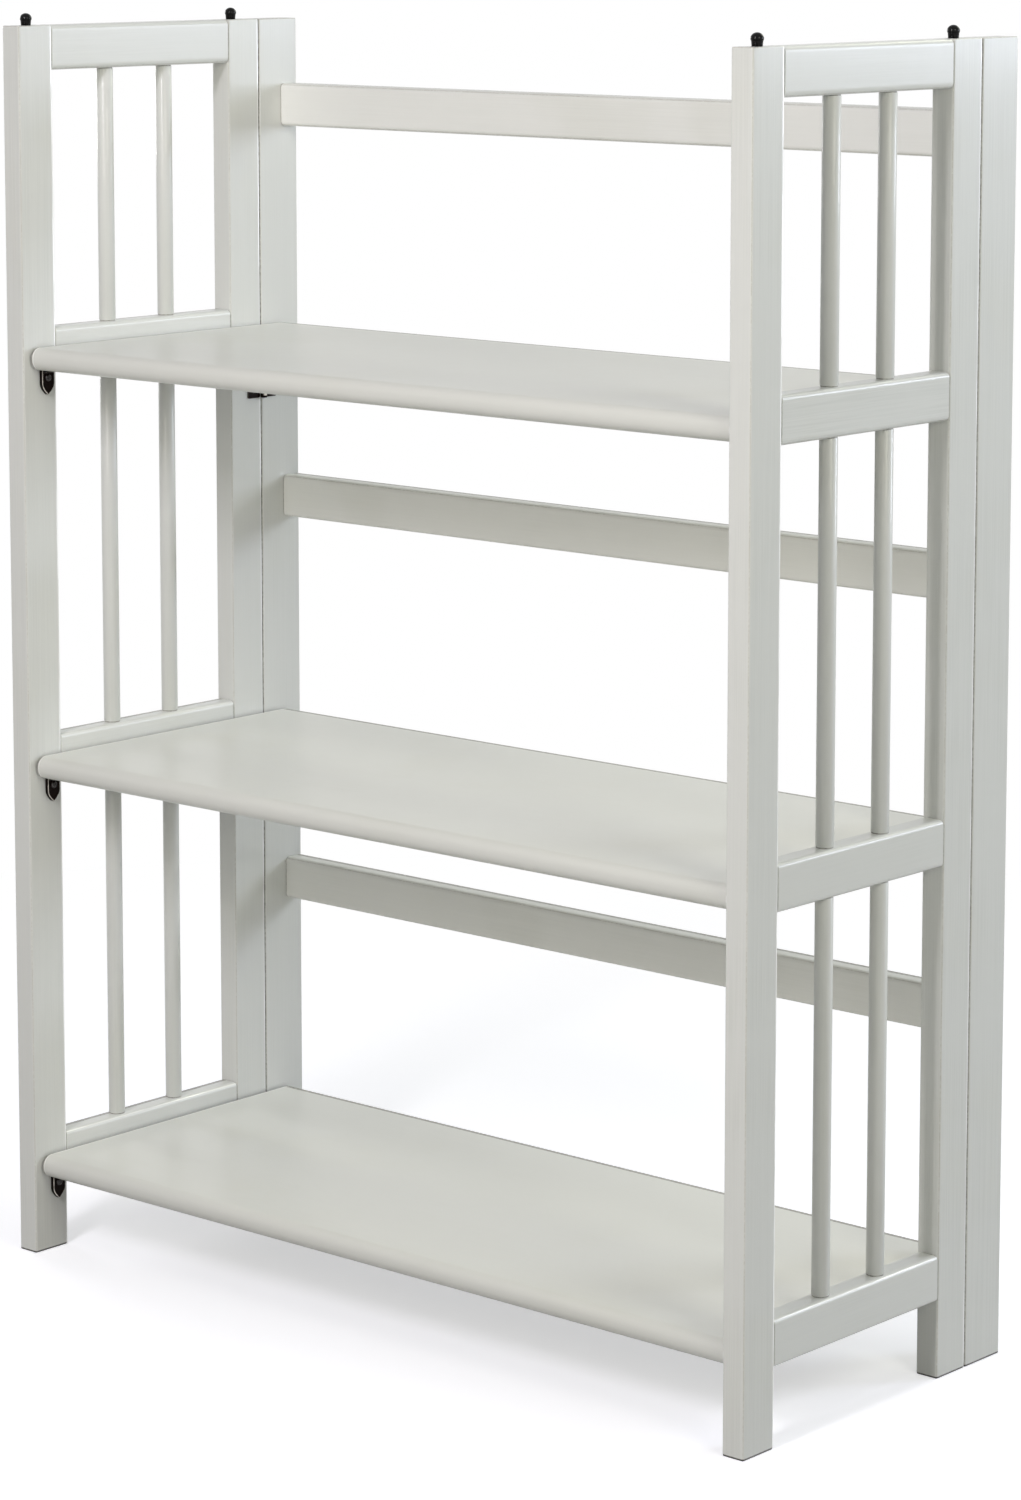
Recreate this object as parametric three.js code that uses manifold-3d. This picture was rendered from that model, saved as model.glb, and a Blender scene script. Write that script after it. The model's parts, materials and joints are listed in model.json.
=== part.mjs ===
// A folding, stackable bookcase in white painted wood: two side panels of posts, rails and round
// spindles, hinged to a back frame of two stiles and three rails, with three shelves that swing up
// against the back frame before the side panels fold in over them.
//
// Millimetres. X runs to the right, Y to the back and Z up. The origin is on the floor, under the
// middle of the bookcase, and its front faces -Y.

import * as THREE from 'three';
import { mergeVertices } from 'three/addons/utils/BufferGeometryUtils.js';
import Module from 'manifold-3d';

const wasm = await Module();
wasm.setup();

// Overall sizes
const bookcaseWidth = 700;
const bookcaseDepth = 292;

// Posts and stiles, the uprights: the panels' posts and the back frame's stiles are one thickness
const uprightThickness = 18;
const postDepth = 33;
const stileDepth = 41.5;
const uprightEdgeRadius = 1.5;
const seamGap = 0.5;

// Shelves
const shelfCount = 3;
const shelfThickness = 17;
const lowestShelfTop = 75;
const shelfSpacing = 307.5;
const heightAboveTopShelf = 237;
const shelfNoseRadius = 8;
const shelfRearEdgeRadius = 1.5;
const shelfSetback = 6;
const shelfEndClearance = 1.5;
const shelfRearClearance = 1;

// Side rails, as thick as the posts
const sideRailHeight = 33;
const sideRailAboveShelf = 13.5;
const railEdgeRadius = 3.5;

// Back rails
const backRailHeight = 33;
const backRailThickness = 18;
const backRailAboveShelf = 153.5;

// Stub tenons on the rails, and the room around each in its mortise
const tenonThickness = 8;
const tenonHeight = 22;
const tenonLength = 7;
const jointClearance = 0.15;

// Round spindles, held in sockets in the rails
const spindlesPerBay = 2;
const spindleDiameter = 12.5;
const spindleSocketDepth = 8;
const spindleEndClearance = 0.3;

// Steel pivots that each shelf turns on, fixed in the stiles
const pivotDiameter = 6;
const pivotLengthInStile = 11;
const pivotLengthInShelf = 20;
const pivotEndChamfer = 0.8;
const pivotClearance = 0.3;

// Stacking pins on the posts, and the sockets under them for the pins of a bookcase below
const stackingPinHeight = 9;
const stackingPinHeadDiameter = 8.8;
const stackingPinHeadCentreHeight = 5;
const stackingPinNeckDiameter = 7.9;
const stackingPinNeckHeight = 3.6;
const stackingPinFootDiameter = 7.3;
const stackingPinShankDiameter = 5;
const stackingPinShankLength = 16;
const frontPinInset = 15.5;
const rearPinInset = 21.5;
const stackingSocketDiameter = 11;
const stackingSocketDepth = 12;

// Shelf rests, screwed to the front posts
const restWidth = 12;
const restHeight = 18.5;
const restShoulderHeight = 10.5;
const restCheekHeight = 15;
const restTipWidth = 1.6;
const restThickness = 3;
const restBevel = 0.6;
const restLedgeReach = 7.5;
const restLedgeWidth = 10;
const restLedgeThickness = 2;
const restInset = 16;
const restGap = 0.2;
const restScrewDrop = 6;
const restScrewHoleDiameter = 3.2;

// Butt hinges between the rear posts and the stiles
const hingeHeight = 38;
const hingeLeafWidth = 15.5;
const hingeLeafThickness = 1.2;
const hingeCornerRadius = 1.5;
const hingeBarrelDiameter = 5;
const hingeBarrelLift = 0.2;
const hingeKnuckleCount = 5;
const hingeKnuckleGap = 0.3;
const hingePinDiameter = 2.4;
const hingePinClearance = 0.15;
const hingePinHeadDiameter = 4;
const hingePinHeadHeight = 1.2;
const hingePinTipLength = 0.8;
const hingeDrop = 2.5;
const hingeScrewSpacing = 24;
const hingeScrewHoleDiameter = 3;
const hingeCountersinkDiameter = 5.4;

// How far a cutting shape runs past the face that it opens
const cutOverrun = 1;

// Counts of the short straight runs that make each round
const smallEdgeSteps = 1;
const railEdgeSteps = 2;
const noseSteps = 4;
const spindleSides = 28;
const boreSides = 16;
const smallBoreSides = 12;
const ballSteps = 5;
const ballUndersideSteps = 1;

// Places that follow from the sizes above
const frontFace = -bookcaseDepth / 2;
const rearFace = bookcaseDepth / 2;
const innerFace = bookcaseWidth / 2 - uprightThickness;
const uprightCentreX = innerFace + uprightThickness / 2;
const stileFront = rearFace - stileDepth;
const stileCentreY = rearFace - stileDepth / 2;
const panelRear = stileFront - seamGap;
const frontPostCentreY = frontFace + postDepth / 2;
const rearPostCentreY = panelRear - postDepth / 2;
const railFront = frontFace + postDepth;
const railRear = panelRear - postDepth;
const sideRailLength = railRear - railFront;
const sideRailCentreY = (railFront + railRear) / 2;
const shelfTops = Array.from({ length: shelfCount }, (_, i) => lowestShelfTop + i * shelfSpacing);
const topShelfTop = shelfTops[shelfCount - 1];
const postHeight = topShelfTop + heightAboveTopShelf;
const backRailCentreY = rearFace - backRailThickness / 2;
const shelfRear = rearFace - backRailThickness - shelfRearClearance;
const shelfFront = frontFace + shelfSetback;
const pivotY = shelfRear - shelfThickness / 2;
const hingeAxisX = innerFace - hingeBarrelDiameter / 2 - hingeBarrelLift;
const hingeAxisY = panelRear + seamGap / 2;
const sideRailCentres = [
  ...shelfTops.map((top) => top + sideRailAboveShelf - sideRailHeight / 2),
  postHeight - sideRailHeight / 2,
];
const backRailCentres = shelfTops.map((top) => top + backRailAboveShelf + backRailHeight / 2);
const frontPinY = frontFace + frontPinInset;
const rearPinY = panelRear - rearPinInset;
const shelfNames = ['lower', 'middle', 'upper'];
const sides = [['left', -1], ['right', 1]];
const mortiseWidth = tenonThickness + 2 * jointClearance;
const mortiseHeight = tenonHeight + 2 * jointClearance;
const mortiseDepth = tenonLength + jointClearance;

// Paints and metals
const whitePaint = { color: 0xdfe0da, roughness: 0.42, metalness: 0 };
const blackMetal = { color: 0x17130f, roughness: 0.38, metalness: 0.6 };
const blackPlastic = { color: 0x0b0b0b, roughness: 0.25, metalness: 0 };
const steel = { color: 0xb4b6b8, roughness: 0.3, metalness: 1 };

// Turns of the extrusion axis: a profile drawn in x and y is pushed out along X, Y or Z
const xAxis = new THREE.Vector3(1, 0, 0);
const yAxis = new THREE.Vector3(0, 1, 0);
const zAxis = new THREE.Vector3(0, 0, 1);
const alongX = new THREE.Matrix4().makeBasis(yAxis, zAxis, xAxis);
const alongY = new THREE.Matrix4().makeBasis(xAxis, zAxis, yAxis.clone().negate());
const alongZ = new THREE.Matrix4();

// A three.js geometry as a closed solid that can be joined and cut
function toSolid(geometry) {
  const plain = geometry.clone();
  plain.deleteAttribute('normal');
  plain.deleteAttribute('uv');
  const merged = mergeVertices(plain);
  const vertProperties = new Float32Array(merged.attributes.position.array);
  const triVerts = new Uint32Array(merged.index.array);
  return new wasm.Manifold(new wasm.Mesh({ numProp: 3, vertProperties, triVerts }));
}

function toGeometry(solid) {
  const mesh = solid.getMesh();
  const geometry = new THREE.BufferGeometry();
  geometry.setAttribute('position', new THREE.BufferAttribute(mesh.vertProperties, 3));
  geometry.setIndex(new THREE.BufferAttribute(mesh.triVerts, 1));
  geometry.computeVertexNormals();
  return geometry;
}

// A profile pushed out by a length, centred on its own origin
function bar(profile, length, direction, steps) {
  const options = { depth: length, bevelEnabled: false, curveSegments: steps };
  const geometry = new THREE.ExtrudeGeometry(profile, options);
  geometry.translate(0, 0, -length / 2);
  return geometry.applyMatrix4(direction);
}

function block(sizeX, sizeY, sizeZ, x, y, z) {
  return toSolid(new THREE.BoxGeometry(sizeX, sizeY, sizeZ).translate(x, y, z));
}

// A round cutter or peg whose axis runs along X, Y or Z
function rod(diameter, length, direction, sides, x, y, z) {
  const cylinder = new THREE.CylinderGeometry(diameter / 2, diameter / 2, length, sides);
  cylinder.rotateX(Math.PI / 2);
  cylinder.applyMatrix4(direction);
  return toSolid(cylinder.translate(x, y, z));
}

// A rectangle with four rounded corners, drawn about its centre
function roundedRectangle(width, height, radius) {
  const x = width / 2 - radius;
  const y = height / 2 - radius;
  const shape = new THREE.Shape();
  shape.absarc(x, y, radius, 0, Math.PI / 2);
  shape.absarc(-x, y, radius, Math.PI / 2, Math.PI);
  shape.absarc(-x, -y, radius, Math.PI, Math.PI * 1.5);
  shape.absarc(x, -y, radius, Math.PI * 1.5, Math.PI * 2);
  return shape;
}

const bookcase = new THREE.Group();

function addPart(parent, name, geometry, finish, place) {
  const mesh = new THREE.Mesh(geometry, new THREE.MeshStandardMaterial(finish));
  mesh.name = name;
  mesh.position.set(...place);
  parent.add(mesh);
  return mesh;
}

// A side panel's post, centred in plan and standing on z = 0. Its mortises open to the rails, towards
// +Y where openTo is 1 and towards -Y where it is -1. The pin's place is measured from its centre.
function postGeometry(openTo, pinOffset) {
  const profile = roundedRectangle(uprightThickness, postDepth, uprightEdgeRadius);
  const blank = bar(profile, postHeight, alongZ, smallEdgeSteps).translate(0, 0, postHeight / 2);
  let solid = toSolid(blank);
  const mortiseLength = mortiseDepth + cutOverrun;
  const mortiseY = openTo * (postDepth / 2 - mortiseDepth + mortiseLength / 2);
  for (const z of sideRailCentres) {
    solid = solid.subtract(block(mortiseWidth, mortiseLength, mortiseHeight, 0, mortiseY, z));
  }
  const boreDiameter = stackingPinShankDiameter + 2 * jointClearance;
  const boreLength = stackingPinShankLength + jointClearance + cutOverrun;
  const boreZ = postHeight + cutOverrun - boreLength / 2;
  const bore = rod(boreDiameter, boreLength, alongZ, smallBoreSides, 0, pinOffset, boreZ);
  const socketLength = stackingSocketDepth + cutOverrun;
  const socketZ = stackingSocketDepth - socketLength / 2;
  const socket = rod(stackingSocketDiameter, socketLength, alongZ, boreSides, 0, pinOffset, socketZ);
  return toGeometry(solid.subtract(bore).subtract(socket));
}

// A back frame stile, centred in plan. Mortises for the back rails and bores for the shelf pivots are
// on its inner face, towards +X where inward is 1.
function stileGeometry(inward) {
  const profile = roundedRectangle(uprightThickness, stileDepth, uprightEdgeRadius);
  const blank = bar(profile, postHeight, alongZ, smallEdgeSteps).translate(0, 0, postHeight / 2);
  let solid = toSolid(blank);
  const mortiseLength = mortiseDepth + cutOverrun;
  const mortiseX = inward * (uprightThickness / 2 - mortiseDepth + mortiseLength / 2);
  const mortiseY = backRailCentreY - stileCentreY;
  for (const z of backRailCentres) {
    solid = solid.subtract(block(mortiseLength, mortiseWidth, mortiseHeight, mortiseX, mortiseY, z));
  }
  const boreDiameter = pivotDiameter + 2 * jointClearance;
  const boreDepth = pivotLengthInStile + jointClearance;
  const boreLength = boreDepth + cutOverrun;
  const boreX = inward * (uprightThickness / 2 - boreDepth + boreLength / 2);
  const boreY = pivotY - stileCentreY;
  for (const top of shelfTops) {
    const z = top - shelfThickness / 2;
    solid = solid.subtract(rod(boreDiameter, boreLength, alongX, smallBoreSides, boreX, boreY, z));
  }
  return toGeometry(solid);
}

// Where the spindles stand along a side rail, measured from the rail's middle
function spindlePlaces() {
  const bay = sideRailLength / (spindlesPerBay + 1);
  return Array.from({ length: spindlesPerBay }, (_, i) => (i + 1) * bay - sideRailLength / 2);
}

// A side rail, centred, with a stub tenon at each end and sockets for the spindles above and below
function sideRailGeometry(socketsAbove, socketsBelow) {
  const profile = roundedRectangle(uprightThickness, sideRailHeight, railEdgeRadius);
  let solid = toSolid(bar(profile, sideRailLength, alongY, railEdgeSteps));
  solid = solid.add(block(tenonThickness, sideRailLength + 2 * tenonLength, tenonHeight, 0, 0, 0));
  const socketDiameter = spindleDiameter + 2 * jointClearance;
  const length = spindleSocketDepth + cutOverrun;
  const socketZ = sideRailHeight / 2 - spindleSocketDepth + length / 2;
  for (const y of spindlePlaces()) {
    if (socketsAbove) {
      solid = solid.subtract(rod(socketDiameter, length, alongZ, spindleSides, 0, y, socketZ));
    }
    if (socketsBelow) {
      solid = solid.subtract(rod(socketDiameter, length, alongZ, spindleSides, 0, y, -socketZ));
    }
  }
  return toGeometry(solid);
}

function spindleGeometry(length) {
  const radius = spindleDiameter / 2;
  return new THREE.CylinderGeometry(radius, radius, length, spindleSides).rotateX(Math.PI / 2);
}

// A back rail, centred, with a stub tenon at each end
function backRailGeometry() {
  const railLength = 2 * innerFace;
  const profile = roundedRectangle(backRailThickness, backRailHeight, railEdgeRadius);
  const rail = toSolid(bar(profile, railLength, alongX, railEdgeSteps));
  const tenons = block(railLength + 2 * tenonLength, tenonThickness, tenonHeight, 0, 0, 0);
  return toGeometry(rail.add(tenons));
}

// A shelf board, drawn in section with its top at y = 0 and its rear edge at x = 0: a full round nose
// at the front, small rounds at the rear, and a bore in each end for its pivot
function shelfGeometry() {
  const length = 2 * (innerFace - shelfEndClearance);
  const depth = shelfRear - shelfFront;
  const nose = shelfNoseRadius;
  const edge = shelfRearEdgeRadius;
  const profile = new THREE.Shape();
  profile.absarc(-edge, -edge, edge, 0, Math.PI / 2);
  profile.absarc(nose - depth, -nose, nose, Math.PI / 2, Math.PI);
  profile.absarc(nose - depth, nose - shelfThickness, nose, Math.PI, Math.PI * 1.5);
  profile.absarc(-edge, edge - shelfThickness, edge, Math.PI * 1.5, Math.PI * 2);
  let solid = toSolid(bar(profile, length, alongX, noseSteps));
  const boreDiameter = pivotDiameter + 2 * pivotClearance;
  const boreDepth = pivotLengthInShelf - shelfEndClearance + pivotClearance;
  const boreLength = boreDepth + cutOverrun;
  const boreX = length / 2 - boreDepth + boreLength / 2;
  const boreY = pivotY - shelfRear;
  for (const x of [-boreX, boreX]) {
    const bore = rod(boreDiameter, boreLength, alongX, smallBoreSides, x, boreY, -shelfThickness / 2);
    solid = solid.subtract(bore);
  }
  return toGeometry(solid);
}

// A steel pivot along X, with chamfered ends: x = 0 is the stile's inner face, +X is into the shelf
function pivotGeometry() {
  const radius = pivotDiameter / 2;
  const chamfered = radius - pivotEndChamfer;
  const profile = [
    new THREE.Vector2(0, -pivotLengthInStile),
    new THREE.Vector2(chamfered, -pivotLengthInStile),
    new THREE.Vector2(radius, pivotEndChamfer - pivotLengthInStile),
    new THREE.Vector2(radius, pivotLengthInShelf - pivotEndChamfer),
    new THREE.Vector2(chamfered, pivotLengthInShelf),
    new THREE.Vector2(0, pivotLengthInShelf),
  ];
  return new THREE.LatheGeometry(profile, smallBoreSides).rotateZ(-Math.PI / 2);
}

// A stacking pin with a domed head on a drafted neck: z = 0 is the top of its post, and the shank goes
// down into the post
function stackingPinGeometry() {
  const shank = stackingPinShankDiameter / 2;
  const foot = stackingPinFootDiameter / 2;
  const neck = stackingPinNeckDiameter / 2;
  const head = stackingPinHeadDiameter / 2;
  const profile = [
    new THREE.Vector2(0, -stackingPinShankLength),
    new THREE.Vector2(shank, -stackingPinShankLength),
    new THREE.Vector2(shank, 0),
    new THREE.Vector2(foot, 0),
  ];
  const neckAngle = Math.acos(neck / head);
  const domeHeight = stackingPinHeight - stackingPinHeadCentreHeight;
  const undersideHeight = (stackingPinHeadCentreHeight - stackingPinNeckHeight) / Math.sin(neckAngle);
  for (let step = -ballUndersideSteps; step < ballSteps; step += 1) {
    const angle = step < 0 ? neckAngle * (step / ballUndersideSteps) : (Math.PI / 2) * (step / ballSteps);
    const halfHeight = step < 0 ? undersideHeight : domeHeight;
    const height = stackingPinHeadCentreHeight + halfHeight * Math.sin(angle);
    profile.push(new THREE.Vector2(head * Math.cos(angle), height));
  }
  profile.push(new THREE.Vector2(0, stackingPinHeight));
  return new THREE.LatheGeometry(profile, boreSides).rotateX(Math.PI / 2);
}

// The face of a shelf rest, in Y and Z: straight sides from the top, drawn in below the shoulders to
// a blunt point
function restFaceShape() {
  const half = restWidth / 2;
  const tip = restTipWidth / 2;
  const shape = new THREE.Shape();
  shape.moveTo(half, 0);
  shape.lineTo(-half, 0);
  shape.lineTo(-half, -restShoulderHeight);
  shape.quadraticCurveTo(-half, -restCheekHeight, -tip, -restHeight);
  shape.lineTo(tip, -restHeight);
  shape.quadraticCurveTo(half, -restCheekHeight, half, -restShoulderHeight);
  return shape;
}

// A shelf rest for the left front post: x = 0 is the post's inner face, z = 0 the top of the ledge
function shelfRestGeometry() {
  const options = {
    depth: restThickness,
    bevelThickness: restBevel,
    bevelSize: restBevel,
    bevelOffset: -restBevel,
    bevelSegments: smallEdgeSteps,
    curveSegments: railEdgeSteps,
  };
  const tongue = new THREE.ExtrudeGeometry(restFaceShape(), options).applyMatrix4(alongX);
  tongue.translate(-restBevel, 0, 0);
  const behind = block(restThickness, 2 * restWidth, 2 * restHeight, -restThickness / 2, 0, -restHeight / 2);
  let solid = toSolid(tongue).subtract(behind);
  const half = restLedgeWidth / 2;
  const ledge = new THREE.Shape();
  ledge.moveTo(restThickness / 2, -half);
  ledge.absarc(restLedgeReach - half, 0, half, -Math.PI / 2, Math.PI / 2);
  ledge.lineTo(restThickness / 2, half);
  const ledgeBar = bar(ledge, restLedgeThickness, alongZ, noseSteps).translate(0, 0, -restLedgeThickness / 2);
  solid = solid.add(toSolid(ledgeBar));
  const length = restThickness + 2 * cutOverrun;
  const x = restThickness / 2;
  const hole = rod(restScrewHoleDiameter, length, alongX, smallBoreSides, x, 0, -restScrewDrop);
  return toGeometry(solid.subtract(hole));
}

// The places of the knuckles that one leaf of a hinge carries, from the bottom: even ones or odd ones
function knucklePlaces(firstKnuckle) {
  const pitch = hingeHeight / hingeKnuckleCount;
  const places = [];
  for (let i = firstKnuckle; i < hingeKnuckleCount; i += 2) {
    places.push((i + 1 / 2) * pitch - hingeHeight / 2);
  }
  return places;
}

// One leaf of a left hinge, about the pin's axis: x = 0 and y = 0 is the axis, the wood is towards -X,
// and the leaf runs towards +Y where away is 1 and towards -Y where it is -1
function hingeLeafGeometry(away, firstKnuckle) {
  const barrelRadius = hingeBarrelDiameter / 2;
  const woodFace = -barrelRadius - hingeBarrelLift;
  const plateX = woodFace + hingeLeafThickness / 2;
  const plateStart = barrelRadius + hingeKnuckleGap;
  const plateWidth = hingeLeafWidth - plateStart;
  const plateY = away * (plateStart + plateWidth / 2);
  const outline = roundedRectangle(plateWidth, hingeHeight, hingeCornerRadius);
  const plate = bar(outline, hingeLeafThickness, alongX, smallEdgeSteps).translate(plateX, plateY, 0);
  let solid = toSolid(plate);
  const knuckleHeight = hingeHeight / hingeKnuckleCount - hingeKnuckleGap;
  const tabReach = plateStart + hingeCornerRadius;
  for (const z of knucklePlaces(firstKnuckle)) {
    const tab = block(hingeLeafThickness, tabReach, knuckleHeight, plateX, away * tabReach / 2, z);
    const barrel = rod(hingeBarrelDiameter, knuckleHeight, alongZ, boreSides, 0, 0, z);
    solid = solid.add(tab).add(barrel);
  }
  const boreDiameter = hingePinDiameter + 2 * hingePinClearance;
  solid = solid.subtract(rod(boreDiameter, hingeHeight + 2 * cutOverrun, alongZ, smallBoreSides, 0, 0, 0));
  for (const z of [-hingeScrewSpacing / 2, hingeScrewSpacing / 2]) {
    solid = solid.subtract(countersink(plateX, plateY, z));
  }
  return toGeometry(solid);
}

// A countersunk screw hole through a hinge leaf, wide on the side away from the wood
function countersink(x, y, z) {
  const wide = hingeCountersinkDiameter / 2;
  const narrow = hingeScrewHoleDiameter / 2;
  const past = cutOverrun * (wide - narrow) / hingeLeafThickness;
  const depth = hingeLeafThickness + cutOverrun;
  const length = depth + cutOverrun;
  const cone = new THREE.CylinderGeometry(narrow, wide + past, depth, smallBoreSides);
  cone.rotateZ(Math.PI / 2);
  cone.translate(x + cutOverrun / 2, y, z);
  const hole = rod(hingeScrewHoleDiameter, length, alongX, smallBoreSides, x, y, z);
  return toSolid(cone).add(hole);
}

// A hinge pin with a domed head on the top knuckle and a rounded tip below the bottom one
function hingePinGeometry() {
  const radius = hingePinDiameter / 2;
  const head = hingePinHeadDiameter / 2;
  const top = hingeHeight / 2;
  const profile = [
    new THREE.Vector2(0, -top - hingePinTipLength),
    new THREE.Vector2(radius / 2, -top - hingePinTipLength),
    new THREE.Vector2(radius, -top),
    new THREE.Vector2(radius, top),
    new THREE.Vector2(head, top),
    new THREE.Vector2(head, top + hingePinHeadHeight / 2),
    new THREE.Vector2(head / 2, top + hingePinHeadHeight),
    new THREE.Vector2(0, top + hingePinHeadHeight),
  ];
  return new THREE.LatheGeometry(profile, smallBoreSides).rotateX(Math.PI / 2);
}

// The back frame: stiles, back rails and the shelf pivots that the stiles hold
function addBackFrame() {
  for (const [sideName, side] of sides) {
    const place = [side * uprightCentreX, stileCentreY, 0];
    addPart(bookcase, `${sideName}_stile`, stileGeometry(-side), whitePaint, place);
    addShelfPivots(sideName, side);
  }
  backRailCentres.forEach((z, i) => {
    const place = [0, backRailCentreY, z];
    addPart(bookcase, `${shelfNames[i]}_back_rail`, backRailGeometry(), whitePaint, place);
  });
}

function addShelfPivots(sideName, side) {
  shelfTops.forEach((top, i) => {
    const name = `${sideName}_${shelfNames[i]}_shelf_pivot`;
    const place = [side * innerFace, pivotY, top - shelfThickness / 2];
    const pivot = addPart(bookcase, name, pivotGeometry(), steel, place);
    pivot.rotation.z = side > 0 ? Math.PI : 0;
  });
}

function addShelves() {
  shelfTops.forEach((top, i) => {
    addPart(bookcase, `${shelfNames[i]}_shelf`, shelfGeometry(), whitePaint, [0, shelfRear, top]);
  });
}

// One side panel, in a group at the middle of its uprights' thickness
function addSidePanel(sideName, side) {
  const panel = new THREE.Group();
  panel.position.x = side * uprightCentreX;
  bookcase.add(panel);
  for (const [place, openTo, postY, pinY] of [
    ['front', 1, frontPostCentreY, frontPinY],
    ['rear', -1, rearPostCentreY, rearPinY],
  ]) {
    const post = postGeometry(openTo, pinY - postY);
    addPart(panel, `${sideName}_${place}_post`, post, whitePaint, [0, postY, 0]);
    const pin = stackingPinGeometry();
    addPart(panel, `${sideName}_${place}_stacking_pin`, pin, blackPlastic, [0, pinY, postHeight]);
  }
  addSideRails(panel, sideName);
  addSpindles(panel, sideName);
}

function addSideRails(panel, sideName) {
  const names = [...shelfNames, 'top'];
  sideRailCentres.forEach((z, i) => {
    const geometry = sideRailGeometry(i < shelfCount, i > 0);
    addPart(panel, `${sideName}_${names[i]}_rail`, geometry, whitePaint, [0, sideRailCentreY, z]);
  });
}

function addSpindles(panel, sideName) {
  for (let bay = 0; bay < shelfCount; bay += 1) {
    const gap = sideRailCentres[bay + 1] - sideRailCentres[bay] - sideRailHeight;
    const length = gap + 2 * (spindleSocketDepth - spindleEndClearance);
    const z = (sideRailCentres[bay] + sideRailCentres[bay + 1]) / 2;
    spindlePlaces().forEach((y, i) => {
      const name = `${sideName}_${shelfNames[bay]}_spindle_${i + 1}`;
      addPart(panel, name, spindleGeometry(length), whitePaint, [0, sideRailCentreY + y, z]);
    });
  }
}

function addShelfRests(sideName, side) {
  shelfTops.forEach((top, i) => {
    const name = `${sideName}_${shelfNames[i]}_shelf_rest`;
    const y = frontFace + restInset + restWidth / 2;
    const place = [side * innerFace, y, top - shelfThickness - restGap];
    const rest = addPart(bookcase, name, shelfRestGeometry(), blackMetal, place);
    rest.rotation.z = side > 0 ? Math.PI : 0;
  });
}

// The two hinges of one side, under the lowest and the highest shelf. A right hinge is a left one
// turned half round about Y, which its knuckles allow because they are alike above and below.
function addHinges(sideName, side) {
  for (const [level, top] of [['lower', lowestShelfTop], ['upper', topShelfTop]]) {
    const name = `${sideName}_${level}_hinge`;
    const place = [side * hingeAxisX, hingeAxisY, top - shelfThickness - hingeDrop - hingeHeight / 2];
    for (const [leafName, away, firstKnuckle] of [['frame_leaf', 1, 0], ['panel_leaf', -1, 1]]) {
      const geometry = hingeLeafGeometry(away, firstKnuckle);
      const leaf = addPart(bookcase, `${name}_${leafName}`, geometry, blackMetal, place);
      leaf.rotation.y = side > 0 ? Math.PI : 0;
    }
    addPart(bookcase, `${name}_pin`, hingePinGeometry(), steel, place);
  }
}

addBackFrame();
addShelves();
for (const [sideName, side] of sides) {
  addSidePanel(sideName, side);
  addShelfRests(sideName, side);
  addHinges(sideName, side);
}

export default bookcase;
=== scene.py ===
"""The looks of a folding bookcase in white painted wood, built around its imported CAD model.

Metres, with X to the right, Y to the back and Z up. The origin is on the floor under the middle of the
bookcase, and its front faces -Y. Every piece takes its place and size from the CAD node that it stands
for, so that the joints and clearances stay those of the model.
"""

import json
import math
import random

import bmesh
import bpy
from bpy.props import FloatProperty, FloatVectorProperty, IntProperty, PointerProperty
from bpy.types import Operator, Panel, PropertyGroup
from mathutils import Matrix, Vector
from mathutils.geometry import tessellate_polygon


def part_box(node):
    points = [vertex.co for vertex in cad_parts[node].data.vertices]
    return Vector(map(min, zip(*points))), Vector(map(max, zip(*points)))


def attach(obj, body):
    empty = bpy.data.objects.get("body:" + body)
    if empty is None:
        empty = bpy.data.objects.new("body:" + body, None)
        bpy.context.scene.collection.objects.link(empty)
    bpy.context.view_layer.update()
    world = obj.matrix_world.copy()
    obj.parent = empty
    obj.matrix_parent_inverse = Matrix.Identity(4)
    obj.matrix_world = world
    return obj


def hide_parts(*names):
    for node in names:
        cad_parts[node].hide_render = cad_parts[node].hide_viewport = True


bl_info = {
    "name": "Folding Bookcase",
    "version": (1, 0, 0),
    "blender": (4, 5, 0),
    "location": "3D Viewport > Sidebar > Bookcase",
    "description": "Builds the painted wood, hardware and studio of a folding bookcase",
    "category": "Object",
}

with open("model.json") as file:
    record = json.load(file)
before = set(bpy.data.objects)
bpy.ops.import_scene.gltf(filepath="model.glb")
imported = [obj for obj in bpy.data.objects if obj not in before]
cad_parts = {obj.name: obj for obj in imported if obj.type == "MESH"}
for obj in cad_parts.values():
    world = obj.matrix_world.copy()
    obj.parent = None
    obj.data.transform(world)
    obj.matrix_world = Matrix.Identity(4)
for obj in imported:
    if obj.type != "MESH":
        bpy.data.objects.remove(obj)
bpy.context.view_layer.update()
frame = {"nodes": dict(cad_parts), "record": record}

X, Y, Z = 0, 1, 2
AXIS_NAMES = "xyz"
MM = 0.001
WHITE = (1.0, 1.0, 1.0, 1.0)
SIDES = (("left", -1), ("right", 1))
LEVELS = ("lower", "middle", "upper")
HINGE_LEVELS = ("lower", "upper")
LEAVES = (("frame_leaf", 1), ("panel_leaf", -1))
LAMPS = (
    # name, place, width and height, watts, colour
    ("high_front_lamp", (0.345, -2.2, 2.0), (0.25, 0.7), 22.0, (0.97, 0.94, 1.0)),
    ("front_lamp", (0.345, -1.7, 1.1), (0.25, 0.6), 7.1, (1.0, 0.96, 0.88)),
    ("right_lamp", (1.9, -0.6, 1.5), (0.7, 0.7), 9.9, (1.0, 0.98, 0.84)),
    ("side_lamp", (1.2, 0.45, 0.95), (0.5, 0.5), 0.8, (0.90, 0.95, 1.0)),
    ("right_rear_lamp", (1.8, 2.3, 1.2), (0.8, 0.8), 26.0, (0.80, 0.86, 1.0)),
    ("high_rear_lamp", (0.3, 2.4, 2.0), (1.2, 1.2), 17.0, (0.98, 1.0, 0.80)),
    ("left_lamp", (-2.3, 0.35, 1.1), (0.6, 0.6), 9.0, (1.0, 1.0, 0.98)),
)
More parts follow.
